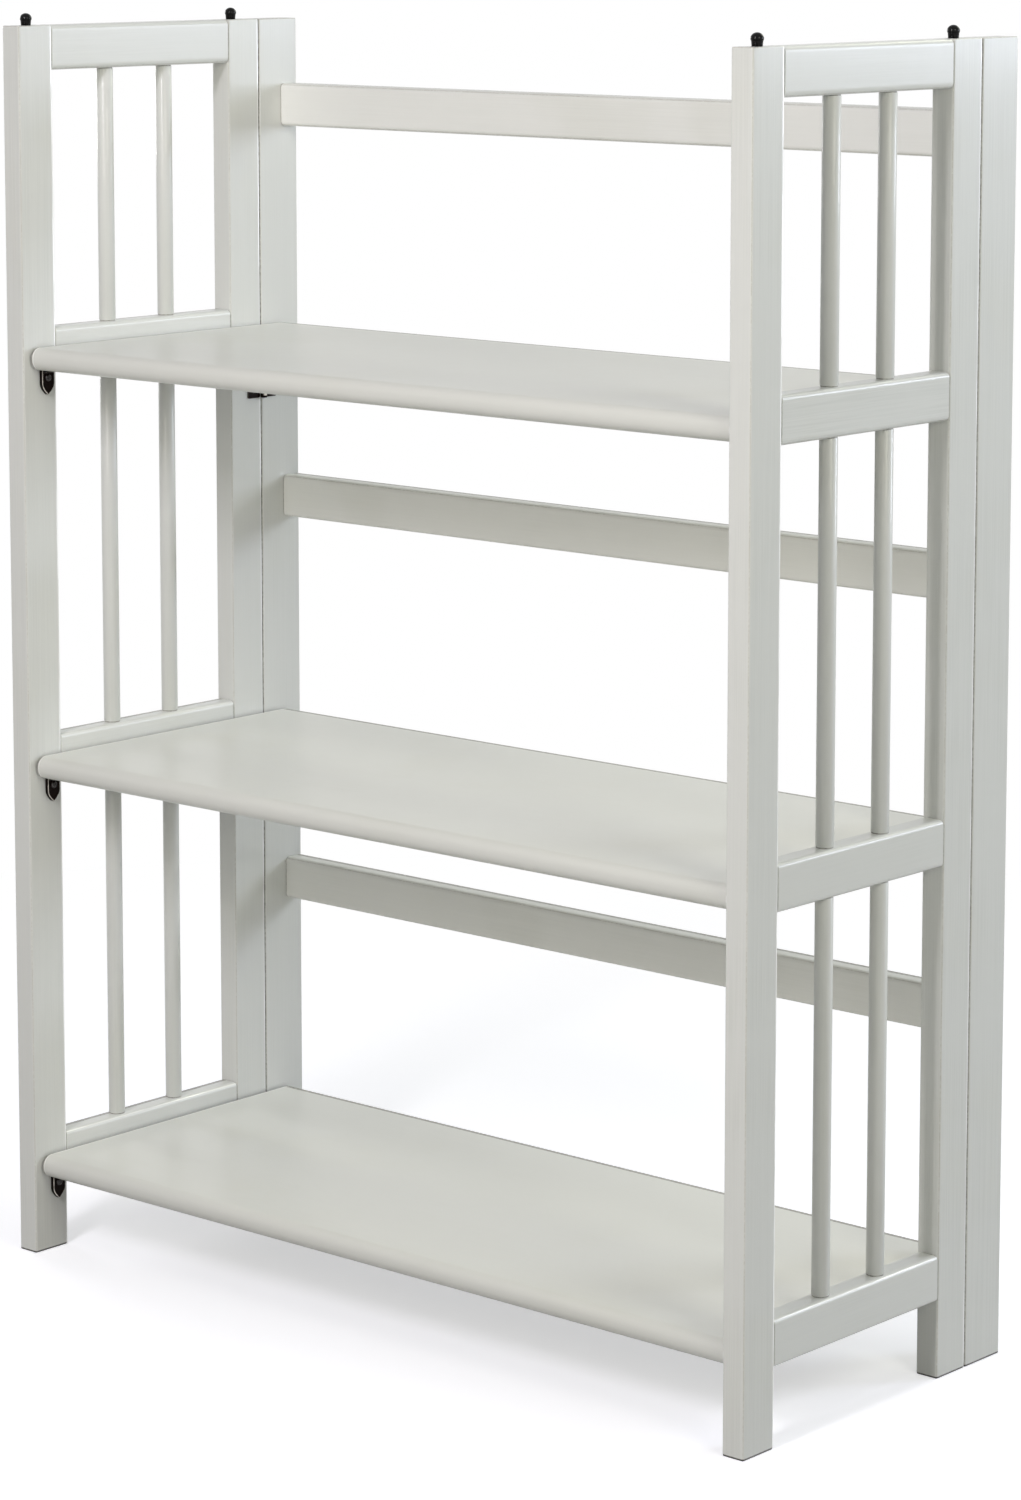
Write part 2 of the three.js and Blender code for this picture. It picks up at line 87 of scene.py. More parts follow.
BOARD_LOOKS = {
    # node: share of the grain that shows through the paint, share of paler paint that stands in for light
    "right_rear_post": (0.65, 0.0),
    "right_stile": (0.6, 0.0),
    "right_front_post": (0.6, 0.0),
    "left_front_post": (0.55, 0.0),
    "right_upper_rail": (0.8, 0.0),
    **{f"{level}_back_rail": (0.2, 1.0) for level in LEVELS},
    **{f"{level}_shelf": (0.12, 0.0) for level in LEVELS},
}
PLAIN_BOARD_LOOK = (0.35, 0.0)
BODY_OF = {
    node: body
    for body, nodes in frame["record"]["behaviour"]["bodies"].items()
    for node in nodes
}


def span(node, axis):
    """The size of a CAD node along an axis."""
    low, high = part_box(node)
    return high[axis] - low[axis]


def wood_face(node, side):
    """The place along X of the face that a rest or hinge leaf turns to its post or stile."""
    low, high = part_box(node)
    return low.x if side < 0 else high.x


def show(name, data):
    """A new object of the scene, for a mesh, a lamp or a camera."""
    made = bpy.data.objects.new(name, data)
    bpy.context.scene.collection.objects.link(made)
    return made


# Settings


class BookcaseWoodSettings(PropertyGroup):
    """Roundings, joint lines, painted shadow and shade lines, and fineness of the wooden pieces."""

    upright_edge: FloatProperty(
        name="Upright Edge Radius",
        description="Rounding of the long edges of posts and stiles",
        default=1.6 * MM,
        min=0.1 * MM,
        unit="LENGTH",
    )
    rail_edge: FloatProperty(
        name="Rail Edge Radius",
        description="Rounding of the long edges of the rails",
        default=3.5 * MM,
        min=0.1 * MM,
        unit="LENGTH",
    )
    shelf_nose: FloatProperty(
        name="Shelf Nose Radius",
        description="Rounding of the front edges of the shelves",
        default=8.0 * MM,
        min=0.1 * MM,
        unit="LENGTH",
    )
    shelf_rear: FloatProperty(
        name="Shelf Rear Radius",
        description="Rounding of the rear edges of the shelves",
        default=1.5 * MM,
        min=0.1 * MM,
        unit="LENGTH",
    )
    end_ease: FloatProperty(
        name="End Rounding",
        description="Rounding around the free ends of posts, stiles and shelves",
        default=1.0 * MM,
        min=0.05 * MM,
        unit="LENGTH",
    )
    butt_ease: FloatProperty(
        name="Joint Rounding",
        description="Rounding around the ends of rails, which draws the line of each joint",
        default=0.5 * MM,
        min=0.05 * MM,
        unit="LENGTH",
    )
    seam_reach: FloatProperty(
        name="Joint Line Reach",
        description="How far the shade of a joint runs along a rail or spindle",
        default=0.5 * MM,
        min=0.1 * MM,
        unit="LENGTH",
    )
    # Painted contact shadow: how far the shadow painted round the foot of a post or stile reaches
    foot_shadow: FloatProperty(
        name="Foot Line",
        description="How far the dirt of the floor shades the foot of a post or stile",
        default=0.9 * MM,
        min=0.0,
        unit="LENGTH",
    )
    # Painted shade: the width of the dark line painted along the far top edges of shelves and rails
    far_edge_shade: FloatProperty(
        name="Dust Line",
        description="Width of the dust along the rear top edges of shelves and rails",
        default=3.0 * MM,
        min=0.0,
        unit="LENGTH",
    )
    seat_groove: FloatProperty(
        name="Spindle Seat Groove",
        description="Depth of the gap in the paint around each end of a spindle",
        default=0.4 * MM,
        min=0.0,
        unit="LENGTH",
    )
    corner_steps: IntProperty(
        name="Corner Steps",
        description="Straight runs in each small rounded corner",
        default=6,
        min=2,
    )
    nose_steps: IntProperty(
        name="Nose Steps",
        description="Straight runs in each quarter of a shelf's nose",
        default=16,
        min=2,
    )
    spindle_sides: IntProperty(
        name="Spindle Sides",
        description="Faces around a spindle",
        default=48,
        min=8,
    )


class BookcasePaintSettings(PropertyGroup):
    """Colours and texture of the white paint over its wood, and the light and shade painted into it."""

    paint: FloatVectorProperty(
        name="Paint",
        description="Colour of the white satin paint",
        subtype="COLOR",
        size=4,
        default=(0.77, 0.78, 0.752, 1.0),
    )
    shelf_paint: FloatVectorProperty(
        name="Shelf Paint",
        description="Colour of the paint on the shelves",
        subtype="COLOR",
        size=4,
        default=(0.77, 0.775, 0.735, 1.0),
    )
    # Painted light: paler paint that brightens the back rails in place of light on their front faces
    pale: FloatVectorProperty(
        name="Pale Paint",
        description="Colour of the paler paint on the back rails",
        subtype="COLOR",
        size=4,
        default=(0.90, 0.90, 0.87, 1.0),
    )
    hollow: FloatVectorProperty(
        name="Hollows",
        description="Colour of the paint in the hollows of the grain",
        subtype="COLOR",
        size=4,
        default=(0.60, 0.615, 0.585, 1.0),
    )
    yellowed: FloatVectorProperty(
        name="Yellowed Paint",
        description="Colour where the paint is thin or has yellowed",
        subtype="COLOR",
        size=4,
        default=(0.735, 0.735, 0.665, 1.0),
    )
    # Painted highlight: the colour of the glints painted along edges that catch the light
    bright: FloatVectorProperty(
        name="Bright Edge",
        description="Colour of the thick, glossy paint along the bright edges",
        subtype="COLOR",
        size=4,
        default=(0.97, 0.97, 0.96, 1.0),
    )
    worn: FloatVectorProperty(
        name="Worn Edge",
        description="Colour of the wood and primer that show through along worn edges",
        subtype="COLOR",
        size=4,
        default=(0.36, 0.31, 0.25, 1.0),
    )
    # Also the colour of the painted shadow at shelf ends and the painted shade along far top edges
    joint_and_shadow: FloatVectorProperty(
        name="Joint Line",
        description="Colour of the dust and bare wood in the joint lines",
        subtype="COLOR",
        size=4,
        default=(0.24, 0.225, 0.20, 1.0),
    )
    # Painted contact shadow: the colour painted round the foot of each post and stile, and faintly at shelf
    # ends
    grime_and_shadow: FloatVectorProperty(
        name="Foot Grime",
        description="Colour of the dirt under the feet",
        subtype="COLOR",
        size=4,
        default=(0.03, 0.028, 0.025, 1.0),
    )
    fibre_width: FloatProperty(
        name="Fibre Width",
        description="Width of the fine ridges that show through the paint",
        default=1.3 * MM,
        min=0.1 * MM,
        unit="LENGTH",
    )
    fibre_length: FloatProperty(
        name="Fibre Length",
        description="Length of the fine ridges that show through the paint",
        default=95 * MM,
        min=1.0 * MM,
        unit="LENGTH",
    )
    grain_height: FloatProperty(
        name="Grain Height",
        description="Height of the grain under the paint",
        default=0.035 * MM,
        min=0.0,
        unit="LENGTH",
    )
    satin: FloatProperty(
        name="Paint Roughness",
        description="Roughness of the satin paint on posts and rails",
        default=0.36,
        min=0.0,
        max=1.0,
    )
    gloss: FloatProperty(
        name="Gloss",
        description="Share of the smooth top coat on posts and rails",
        default=0.35,
        min=0.0,
        max=1.0,
    )
    shelf_gloss: FloatProperty(
        name="Shelf Gloss",
        description="Share of the smooth top coat on the shelves and back rails",
        default=0.10,
        min=0.0,
        max=1.0,
    )
    sheen: FloatProperty(
        name="Sheen",
        description="Level of the satin reflection on posts and side rails",
        default=0.25,
        min=0.0,
        max=1.0,
    )
    shelf_sheen: FloatProperty(
        name="Shelf Sheen",
        description="Level of the satin reflection on the shelves and back rails",
        default=0.12,
        min=0.0,
        max=1.0,
    )
    shelf_satin: FloatProperty(
        name="Shelf Roughness",
        description="Roughness of the satin paint on the shelves",
        default=0.36,
        min=0.0,
        max=1.0,
    )


class BookcaseHardwareSettings(PropertyGroup):
    """Colours and small sizes of the hinges, shelf rests, screws and pins."""

    black: FloatVectorProperty(
        name="Black Finish",
        description="Colour of the black finish on hinges, shelf rests and screws",
        subtype="COLOR",
        size=4,
        default=(0.0065, 0.0026, 0.0014, 1.0),
    )
    # Also the colour of the painted glints on the bottom knuckles and the fronts of the rest rims
    rubbed_and_glint: FloatVectorProperty(
        name="Rubbed Metal",
        description="Colour where the black finish is rubbed off an edge",
        subtype="COLOR",
        size=4,
        default=(0.66, 0.62, 0.56, 1.0),
    )
    plastic: FloatVectorProperty(
        name="Pin Plastic",
        description="Colour of the stacking pins",
        subtype="COLOR",
        size=4,
        default=(0.004, 0.004, 0.004, 1.0),
    )
    steel: FloatVectorProperty(
        name="Steel",
        description="Colour of the pivots and hinge pins",
        subtype="COLOR",
        size=4,
        default=(0.56, 0.565, 0.57, 1.0),
    )
    rest_screw: FloatProperty(
        name="Rest Screw Head",
        description="Diameter of the round heads in the shelf rests",
        default=5.6 * MM,
        min=1.0 * MM,
        unit="LENGTH",
    )
    rest_screw_drop: FloatProperty(
        name="Rest Screw Drop",
        description="Distance from the top of a shelf rest down to its screw",
        default=6.0 * MM,
        min=1.0 * MM,
        unit="LENGTH",
    )
    hinge_screw: FloatProperty(
        name="Hinge Screw Head",
        description="Diameter of the countersunk heads in the hinges",
        default=5.0 * MM,
        min=1.0 * MM,
        unit="LENGTH",
    )
    hinge_screw_spacing: FloatProperty(
        name="Hinge Screw Spacing",
        description="Distance between the two screws of a hinge leaf",
        default=24.0 * MM,
        min=1.0 * MM,
        unit="LENGTH",
    )


class BookcaseStageSettings(PropertyGroup):
    """Camera, lamps and floor."""

    camera_place: FloatVectorProperty(
        name="Camera Place",
        description="Where the camera stands",
        subtype="XYZ",
        unit="LENGTH",
        size=3,
        default=(2.0742, -2.3446, 1.0232),
    )
    heading: FloatProperty(
        name="Heading",
        description="How far the camera turns left of straight back",
        default=math.radians(41.243),
        subtype="ANGLE",
    )
    tilt: FloatProperty(
        name="Tilt",
        description="How far the camera looks down",
        default=math.radians(7.58),
        subtype="ANGLE",
    )
    lens: FloatProperty(
        name="Lens",
        description="Focal length in millimetres, on a sensor 36 mm high",
        default=105.8,
        min=1.0,
    )
    rise: FloatProperty(
        name="Lens Shift",
        description="Vertical shift of the lens, as a share of the sensor's height",
        default=-0.18,
    )
    lamp_level: FloatProperty(
        name="Lamp Level",
        description="Brightness of all the lamps together",
        default=1.0,
        min=0.0,
    )
    room_light: FloatProperty(
        name="Room Light",
        description="Strength of the light from all around",
        default=0.2,
        min=0.0,
    )
    floor: FloatVectorProperty(
        name="Floor",
        description="Colour of the studio floor",
        subtype="COLOR",
        size=4,
        default=(0.80, 0.80, 0.86, 1.0),
    )
    floor_bounce: FloatVectorProperty(
        name="Floor Bounce",
        description="Colour that the floor throws back onto the bookcase",
        subtype="COLOR",
        size=4,
        default=(0.46, 0.46, 0.45, 1.0),
    )


# Node trees


class Value:
    """A socket of a node tree. An expression on values adds the Math nodes that work it out."""

    def __init__(self, graph, socket):
        self.graph = graph
        self.socket = socket

    def __add__(self, other):
        return self.graph.math("ADD", self, other)

    def __radd__(self, other):
        return self.graph.math("ADD", other, self)

    def __sub__(self, other):
        return self.graph.math("SUBTRACT", self, other)

    def __rsub__(self, other):
        return self.graph.math("SUBTRACT", other, self)

    def __mul__(self, other):
        return self.graph.math("MULTIPLY", self, other)

    def __truediv__(self, other):
        return self.graph.math("DIVIDE", self, other)


class Made:
    """A new node, whose outputs are values under their names or numbers."""

    def __init__(self, graph, node):
        self.graph = graph
        self.node = node

    def __getitem__(self, key):
        return Value(self.graph, self.node.outputs[key])


class Graph:
    """A node tree in the making."""

    def __init__(self, tree):
        self.tree = tree
        tree.nodes.clear()

    def node(self, kind, settings=None, inputs=None):
        """Adds a node: its settings first, then a value or a link for each socket that is named."""
        made = self.tree.nodes.new(kind)
        for name, value in (settings or {}).items():
            setattr(made, name, value)
        for key, value in (inputs or {}).items():
            if isinstance(value, Value):
                self.tree.links.new(value.socket, made.inputs[key])
            else:
                made.inputs[key].default_value = value
        return Made(self, made)

    def math(self, operation, *values):
        return self.node("ShaderNodeMath", {"operation": operation}, dict(enumerate(values)))[0]

    def vector(self, operation, *values):
        return self.node("ShaderNodeVectorMath", {"operation": operation}, dict(enumerate(values)))[0]

    def ease(self, value, low, high):
        """0 below low, 1 above high and smooth in between."""
        settings = {"interpolation_type": "SMOOTHSTEP"}
        inputs = {"Value": value, "From Min": low, "From Max": high}
        return self.node("ShaderNodeMapRange", settings, inputs)[0]

    def mix(self, share, first, second):
        """A colour between two colours."""
        return self.node("ShaderNodeMix", {"data_type": "RGBA"}, {0: share, 6: first, 7: second})[2]


class Finish(Graph):
    """A material in the making."""

    def __init__(self, name):
        self.material = bpy.data.materials.new(name)
        self.material.use_nodes = True
        super().__init__(self.material.node_tree)
        self.place = self.node("ShaderNodeTexCoord")["Object"]

    def attribute(self, name):
        return self.node("ShaderNodeAttribute", {"attribute_name": name})

    def noise(self, place, sizes, detail):
        """Noise about 0.5, with features of these sizes along X, Y and Z, or of one size all round."""
        along_axes = sizes if isinstance(sizes, list) else [sizes] * 3
        scaled = self.vector("MULTIPLY", place, [1 / size for size in along_axes])
        inputs = {"Vector": scaled, "Scale": 1.0, "Detail": detail}
        return self.node("ShaderNodeTexNoise", inputs=inputs)["Fac"]

    def relief(self, height, depth):
        """The normal of a surface whose height, from 0 to 1, stands for a depth in metres."""
        return self.node("ShaderNodeBump", inputs={"Height": height, "Distance": depth})["Normal"]

    def surface(self, inputs):
        shader = self.node("ShaderNodeBsdfPrincipled", inputs=inputs)[0]
        self.node("ShaderNodeOutputMaterial", inputs={"Surface": shader})
        return self.material


# Materials


def white_paint(name, along, paint, roughness, gloss, sheen):
    """Satin white paint over wood whose grain runs along an axis, made once under each name."""
    if name in bpy.data.materials:
        return bpy.data.materials[name]
    settings = bpy.context.scene.bookcase_paint
    finish = Finish(name)
    grain = finish.attribute("grain")["Fac"]
    pale = finish.attribute("pale")["Fac"]
    board = finish.attribute("board")["Vector"]
    edge = finish.attribute("edge")["Fac"]
    seam = finish.attribute("seam")["Fac"]
    bright = finish.attribute("bright")["Fac"]
    place = finish.vector("ADD", finish.place, board)

    def along_grain(width, length, detail):
        sizes = [width] * 3
        sizes[along] = length
        return finish.noise(place, sizes, detail)

    # The grain
    fibres = finish.ease(along_grain(settings.fibre_width, settings.fibre_length, 2.0), 0.36, 0.66)
    threads = along_grain(0.45 * settings.fibre_width, 0.6 * settings.fibre_length, 1.0)
    pores = finish.ease(along_grain(0.9 * MM, 14 * MM, 1.0), 0.66, 0.78)
    bands = finish.ease(along_grain(7 * MM, 480 * MM, 1.5), 0.42, 0.66)
    clouds = finish.noise(place, 90 * MM, 2.0)
    mottle = finish.noise(place, 14 * MM, 2.0)
    peel = finish.noise(finish.place, 0.6 * MM, 1.0)
    tone = finish.node("ShaderNodeTexWhiteNoise", inputs={"Vector": board})["Value"]
    patchy = 0.35 + finish.ease(clouds, 0.40, 0.62) * 0.65
    lines = (fibres * 0.36 + (threads - 0.5) * 0.4 + bands * 0.10) * patchy
    hollows = (lines + pores * 0.16) * grain + (mottle - 0.5) * 0.04

    # The colour, from the whole board to its edges and joints, with painted light and shade among it
    yellowing = finish.ease(clouds, 0.52, 0.74) * 0.22 + tone * 0.16
    chips = finish.noise(finish.place, 2.2 * MM, 3.0)
    runs = finish.noise(place, 40 * MM, 2.0)
    thin = 0.45 + finish.ease(chips + (runs - 0.5) * 0.9, 0.36, 0.56) * 0.55
    wear = finish.ease(edge, 0.25, 0.95) * thin
    # Joint lines, with the painted shade along far top edges and the painted shadow at shelf ends
    line = finish.ease(seam, 0.30, 0.9) * (0.7 + finish.ease(chips, 0.40, 0.60) * 0.3)
    # Painted highlight: a glint painted along the edges that catch the light
    glint = finish.ease(bright, 0.45, 1.0) * (0.55 + finish.ease(runs, 0.40, 0.56) * 0.45)
    # Painted light: the back rails take the paler paint to look more brightly lit
    colour = finish.mix(pale, paint, settings.pale)
    colour = finish.mix(finish.math("MAXIMUM", hollows, 0.0), colour, settings.hollow)
    colour = finish.mix(yellowing, colour, settings.yellowed)
    colour = finish.mix(wear * 0.36, colour, settings.worn)
    colour = finish.mix(line * 0.85, colour, settings.joint_and_shadow)
    # Painted contact shadow round the feet, and faintly at the shelf ends
    colour = finish.mix(finish.ease(seam, 1.1, 1.7), colour, settings.grime_and_shadow)
    colour = finish.mix(glint, colour, settings.bright)

    height = 1.0 - (lines * 0.8 + pores * 0.35) * grain + peel * 0.06
    return finish.surface({
        "Base Color": colour,
        # Painted reflection: the painted glints are partly metallic, so that they mirror the bright
        # surroundings
        "Metallic": glint * 0.45,
        "Roughness": roughness + (mottle - 0.5) * 0.05 + wear * 0.25 + fibres * grain * 0.05,
        "Normal": finish.relief(height - wear * 0.6, settings.grain_height),
        "Specular IOR Level": sheen,
        "Coat Weight": gloss,
        "Coat Roughness": 0.14,
        "Coat IOR": 1.45,
    })


def black_finish(name="black_hardware_finish", gloss=0.045):
    """Black finish on stamped steel, rubbed bare in places along its edges, with painted glints there too.
    """
    settings = bpy.context.scene.bookcase_hardware
    finish = Finish(name)
    edge = finish.attribute("edge")["Fac"]
    grime_and_shadow = finish.noise(finish.place, 3.0 * MM, 4.0)
    grit = finish.noise(finish.place, 0.25 * MM, 2.0)
    # Rubbed edges, which also carry the painted glints of the knuckles and rest rims
    rubbed_and_glint = finish.ease(edge + (grime_and_shadow - 0.5) * 0.9, 0.70, 1.15)
    return finish.surface({
        "Base Color": finish.mix(rubbed_and_glint, settings.black, settings.rubbed_and_glint),
        "Metallic": rubbed_and_glint * 0.8,
        "Roughness": 0.26 + grime_and_shadow * 0.2,
        "Specular IOR Level": gloss,
        "Normal": finish.relief(grit, 0.02 * MM),
    })


def screw_finish():
    """The same black finish, glossier on the heads of the screws."""
    return black_finish("black_screw_finish", 0.6)


def pin_plastic():
    """Glossy black plastic with a faint moulding texture."""
    settings = bpy.context.scene.bookcase_hardware
    finish = Finish("stacking_pin_plastic_finish")
    ripple = finish.noise(finish.place, 1.6 * MM, 2.0)
    scuffs = finish.ease(finish.noise(finish.place, [0.5 * MM, 0.5 * MM, 3.0 * MM], 3.0), 0.56, 0.72)
    return finish.surface({
        "Base Color": settings.plastic,
        "Roughness": 0.08 + scuffs * 0.10,
        "Specular IOR Level": 0.14,
        "Normal": finish.relief(ripple - scuffs * 0.2, 0.03 * MM),
    })


def bright_steel():
    """Turned steel with fine rings and slightly dulled patches."""
    settings = bpy.context.scene.bookcase_hardware
    finish = Finish("bright_steel_finish")
    dulled = finish.noise(finish.place, 2.5 * MM, 3.0)
    turned = finish.noise(finish.place, [0.18 * MM, 2.0 * MM, 0.18 * MM], 1.0)
    return finish.surface({
        "Base Color": settings.steel,
        "Metallic": 1.0,
        "Roughness": 0.2 + dulled * 0.25,
        "Normal": finish.relief(turned, 0.01 * MM),
    })


MATERIALS = {
    "black_hardware": black_finish,
    "black_screw": screw_finish,
    "stacking_pin_plastic": pin_plastic,
    "bright_steel": bright_steel,
}


def material(name):
    """The material of that name, made the first time that it is asked for."""
    return bpy.data.materials.get(name + "_finish") or MATERIALS[name]()


def paint_along(axis):
    """Painted wood with its grain along an axis. Only the back rails have it along X, with the gloss of
    the shelves."""
    name = "white_paint_along_" + AXIS_NAMES[axis]
    paint = bpy.context.scene.bookcase_paint
    gloss, sheen = (paint.shelf_gloss, paint.shelf_sheen) if axis == X else (paint.gloss, paint.sheen)
    return white_paint(name, axis, paint.paint, paint.satin, gloss, sheen)


def shelf_paint():
    """The duller and yellower paint of the shelves."""
    name = "white_paint_on_shelves"
    paint = bpy.context.scene.bookcase_paint
    looks = (paint.shelf_satin, paint.shelf_gloss, paint.shelf_sheen)
    return white_paint(name, X, paint.shelf_paint, *looks)


# Meshes


class Shell:
    """A closed mesh in the making. Each point has three marks: edge is 1 along an edge that wears, and on
    the hardware also where a glint is painted; seam is 1 along a joint or a line of painted
    shade and up to 2 where a contact shadow is painted; bright is 1 along a painted highlight."""

    titles = ("edge", "seam", "bright")

    def __init__(self):
        self.points = []
        self.marks = {title: [] for title in self.titles}
        self.faces = []

    def ring(self, points, edge=0.0, seam=0.0, bright=0.0):
        """Adds a ring of points and gives their numbers. A mark is one value for all or a list of them."""
        first = len(self.points)
        self.points += [Vector(point) for point in points]
        for title, mark in zip(self.titles, (edge, seam, bright)):
            self.marks[title] += mark if isinstance(mark, list) else [mark] * len(points)
        return list(range(first, len(self.points)))

    def skin(self, *rings):
        """Joins each ring to the next with four-sided faces."""
        for low, high in zip(rings, rings[1:]):
            count = len(low)
            for i in range(count):
                j = (i + 1) % count
                self.faces.append((low[i], low[j], high[j], high[i]))

    def cap(self, ring, *holes):
        """Closes a flat ring, around any holes in it."""
        if not holes:
            self.faces.append(tuple(ring))
            return
        loops = [ring, *holes]
        numbers = [number for loop in loops for number in loop]
        for triangle in tessellate_polygon([[self.points[n] for n in loop] for loop in loops]):
            self.faces.append(tuple(numbers[i] for i in triangle))

    def solid(self, *rings):
        """Joins each ring to the next and closes the first and the last."""
        self.skin(*rings)
        self.cap(rings[0])
        self.cap(rings[-1])

    def pocket(self, centre, axis, inward, radius, depth, sides):
        """Adds a blind round hole and gives the ring at its mouth."""
        mouth = self.ring(circle(centre, axis, radius, sides))
        floor = self.ring(circle(moved(centre, axis, inward * depth), axis, radius, sides))
        self.skin(mouth, floor)
        self.cap(floor)
        return mouth

    def piece(self, name, finish):
        """The object that these faces make, with smooth faces that point outwards."""
        mesh = bpy.data.meshes.new(name)
        mesh.from_pydata(self.points, [], self.faces)
        for title, values in self.marks.items():
            store_marks(mesh, title, values)
        outward = bmesh.new()
        outward.from_mesh(mesh)
        bmesh.ops.recalc_face_normals(outward, faces=outward.faces)
        outward.to_mesh(mesh)
        outward.free()
        mesh.shade_smooth()
        mesh.materials.append(finish)
        mark_board(mesh, name)
        made = show(name, mesh)
        flat_faces = made.modifiers.new("flat_faces", "WEIGHTED_NORMAL")
        flat_faces.weight = 100
        return made


def store_marks(mesh, title, values):
    """Stores a number for each point of a mesh."""
    mesh.attributes.new(title, "FLOAT", "POINT").data.foreach_set("value", values)


def store_vectors(mesh, title, values):
    """Stores a vector for each point of a mesh, from the numbers of all of them in one list."""
    mesh.attributes.new(title, "FLOAT_VECTOR", "POINT").data.foreach_set("vector", values)


def mark_board(mesh, name):
    """Gives a mesh its own place in the grain, and its shares of grain and of paler paint as painted light.
    """
    chosen = random.Random(name)
    offset = [chosen.uniform(-3.0, 3.0) for _ in AXIS_NAMES]
    count = len(mesh.vertices)
    store_vectors(mesh, "board", offset * count)
    look = BOARD_LOOKS.get(name.rsplit("_", 1)[0], PLAIN_BOARD_LOOK)
    for title, share in zip(("grain", "pale"), look):
        store_marks(mesh, title, [share] * count)


def stand_for(piece, slot, *nodes):
    """The piece takes the place of CAD nodes of one body, and rides on that body."""
    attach(piece, BODY_OF[nodes[0]])
    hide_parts(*nodes)
    return piece


def moved(point, axis, distance):
    """A point moved along an axis."""
    there = Vector(point)
    there[axis] += distance
    return there


def other_axes(axis):
    """The two axes across an axis."""
    return [other for other in (X, Y, Z) if other != axis]


def circle(centre, axis, radius, sides):
    """Points around a centre, in the plane across an axis."""
    across, upward = other_axes(axis)
    points = []
    for i in range(sides):
        angle = 2 * math.pi * i / sides
        point = moved(centre, across, radius * math.cos(angle))
        points.append(moved(point, upward, radius * math.sin(angle)))
    return points


def rounded_section(low, high, radii, steps, inset=0.0):
    """The outline of a rectangle with rounded corners, drawn in by inset, and the wear at each point.

    low and high are opposite corners, and radii belong to the corners (+, +), (-, +), (-, -), (+, -).
    Each corner has a point a little before its arc and one a little after it. Only corners with a small
    radius wear, along the middle of their arcs.
    """
    small_radius = 5 * MM
    worn_width = 0.8 * MM
    side_run = 1.1 * MM
    least = 0.02 * MM
    points = []
    wear = []
    corners = ((1, 1), (-1, 1), (-1, -1), (1, -1))
    for quarter, ((right, up), radius) in enumerate(zip(corners, radii)):
        arc = max(radius - inset, least)
        centre_u = (high[0] - inset - arc) if right > 0 else (low[0] + inset + arc)
        centre_v = (high[1] - inset - arc) if up > 0 else (low[1] + inset + arc)
        sharp = radius < small_radius
        margin = side_run if sharp else least
        for step in range(-1, steps + 2):
            turned = min(max(step, 0), steps)
            angle = math.pi / 2 * (quarter + turned / steps)
            u, v = arc * math.cos(angle), arc * math.sin(angle)
            past = (step - turned) * margin
            points.append((centre_u + u - past * math.sin(angle), centre_v + v + past * math.cos(angle)))
            from_middle = abs(step / steps - 0.5) * arc * math.pi / 2
            wear.append(max(0.0, 1 - from_middle / worn_width) if sharp and step == turned else 0.0)
    return points, wear


def add_far_shade(points, wear, steps, axis, width):
    """Gives a section a dark line of painted shade on its top face, along the far edge, and a point where
    it ends.

    The far edge is the rear one of a piece along X, and the left one of a piece along Y. Gives the
    points, their wear and the painted shade at each of them.
    """
    corner_points = steps + 3
    half = corner_points // 2
    full_width = 0.6 * width
    if axis == X:
        edge_point, towards = corner_points - 1, -1
        far_shaded = range(half, corner_points)
    else:
        edge_point, towards = corner_points, 1
        far_shaded = range(corner_points + 1, corner_points + 1 + half)
    u, v = points[edge_point]
    points[edge_point] = (u + towards * full_width, v)
    points.insert(corner_points, (u + towards * width, v))
    wear.insert(corner_points, 0.0)
    return points, wear, [float(i in far_shaded) for i in range(len(points))]


def place_section(points, axis, at):
    """Points of a section set across an axis, at a place along it."""
    across, upward = other_axes(axis)
    placed = []
    for u, v in points:
        point = Vector((0, 0, 0))
        point[across], point[upward], point[axis] = u, v, at
        placed.append(point)
    return placed


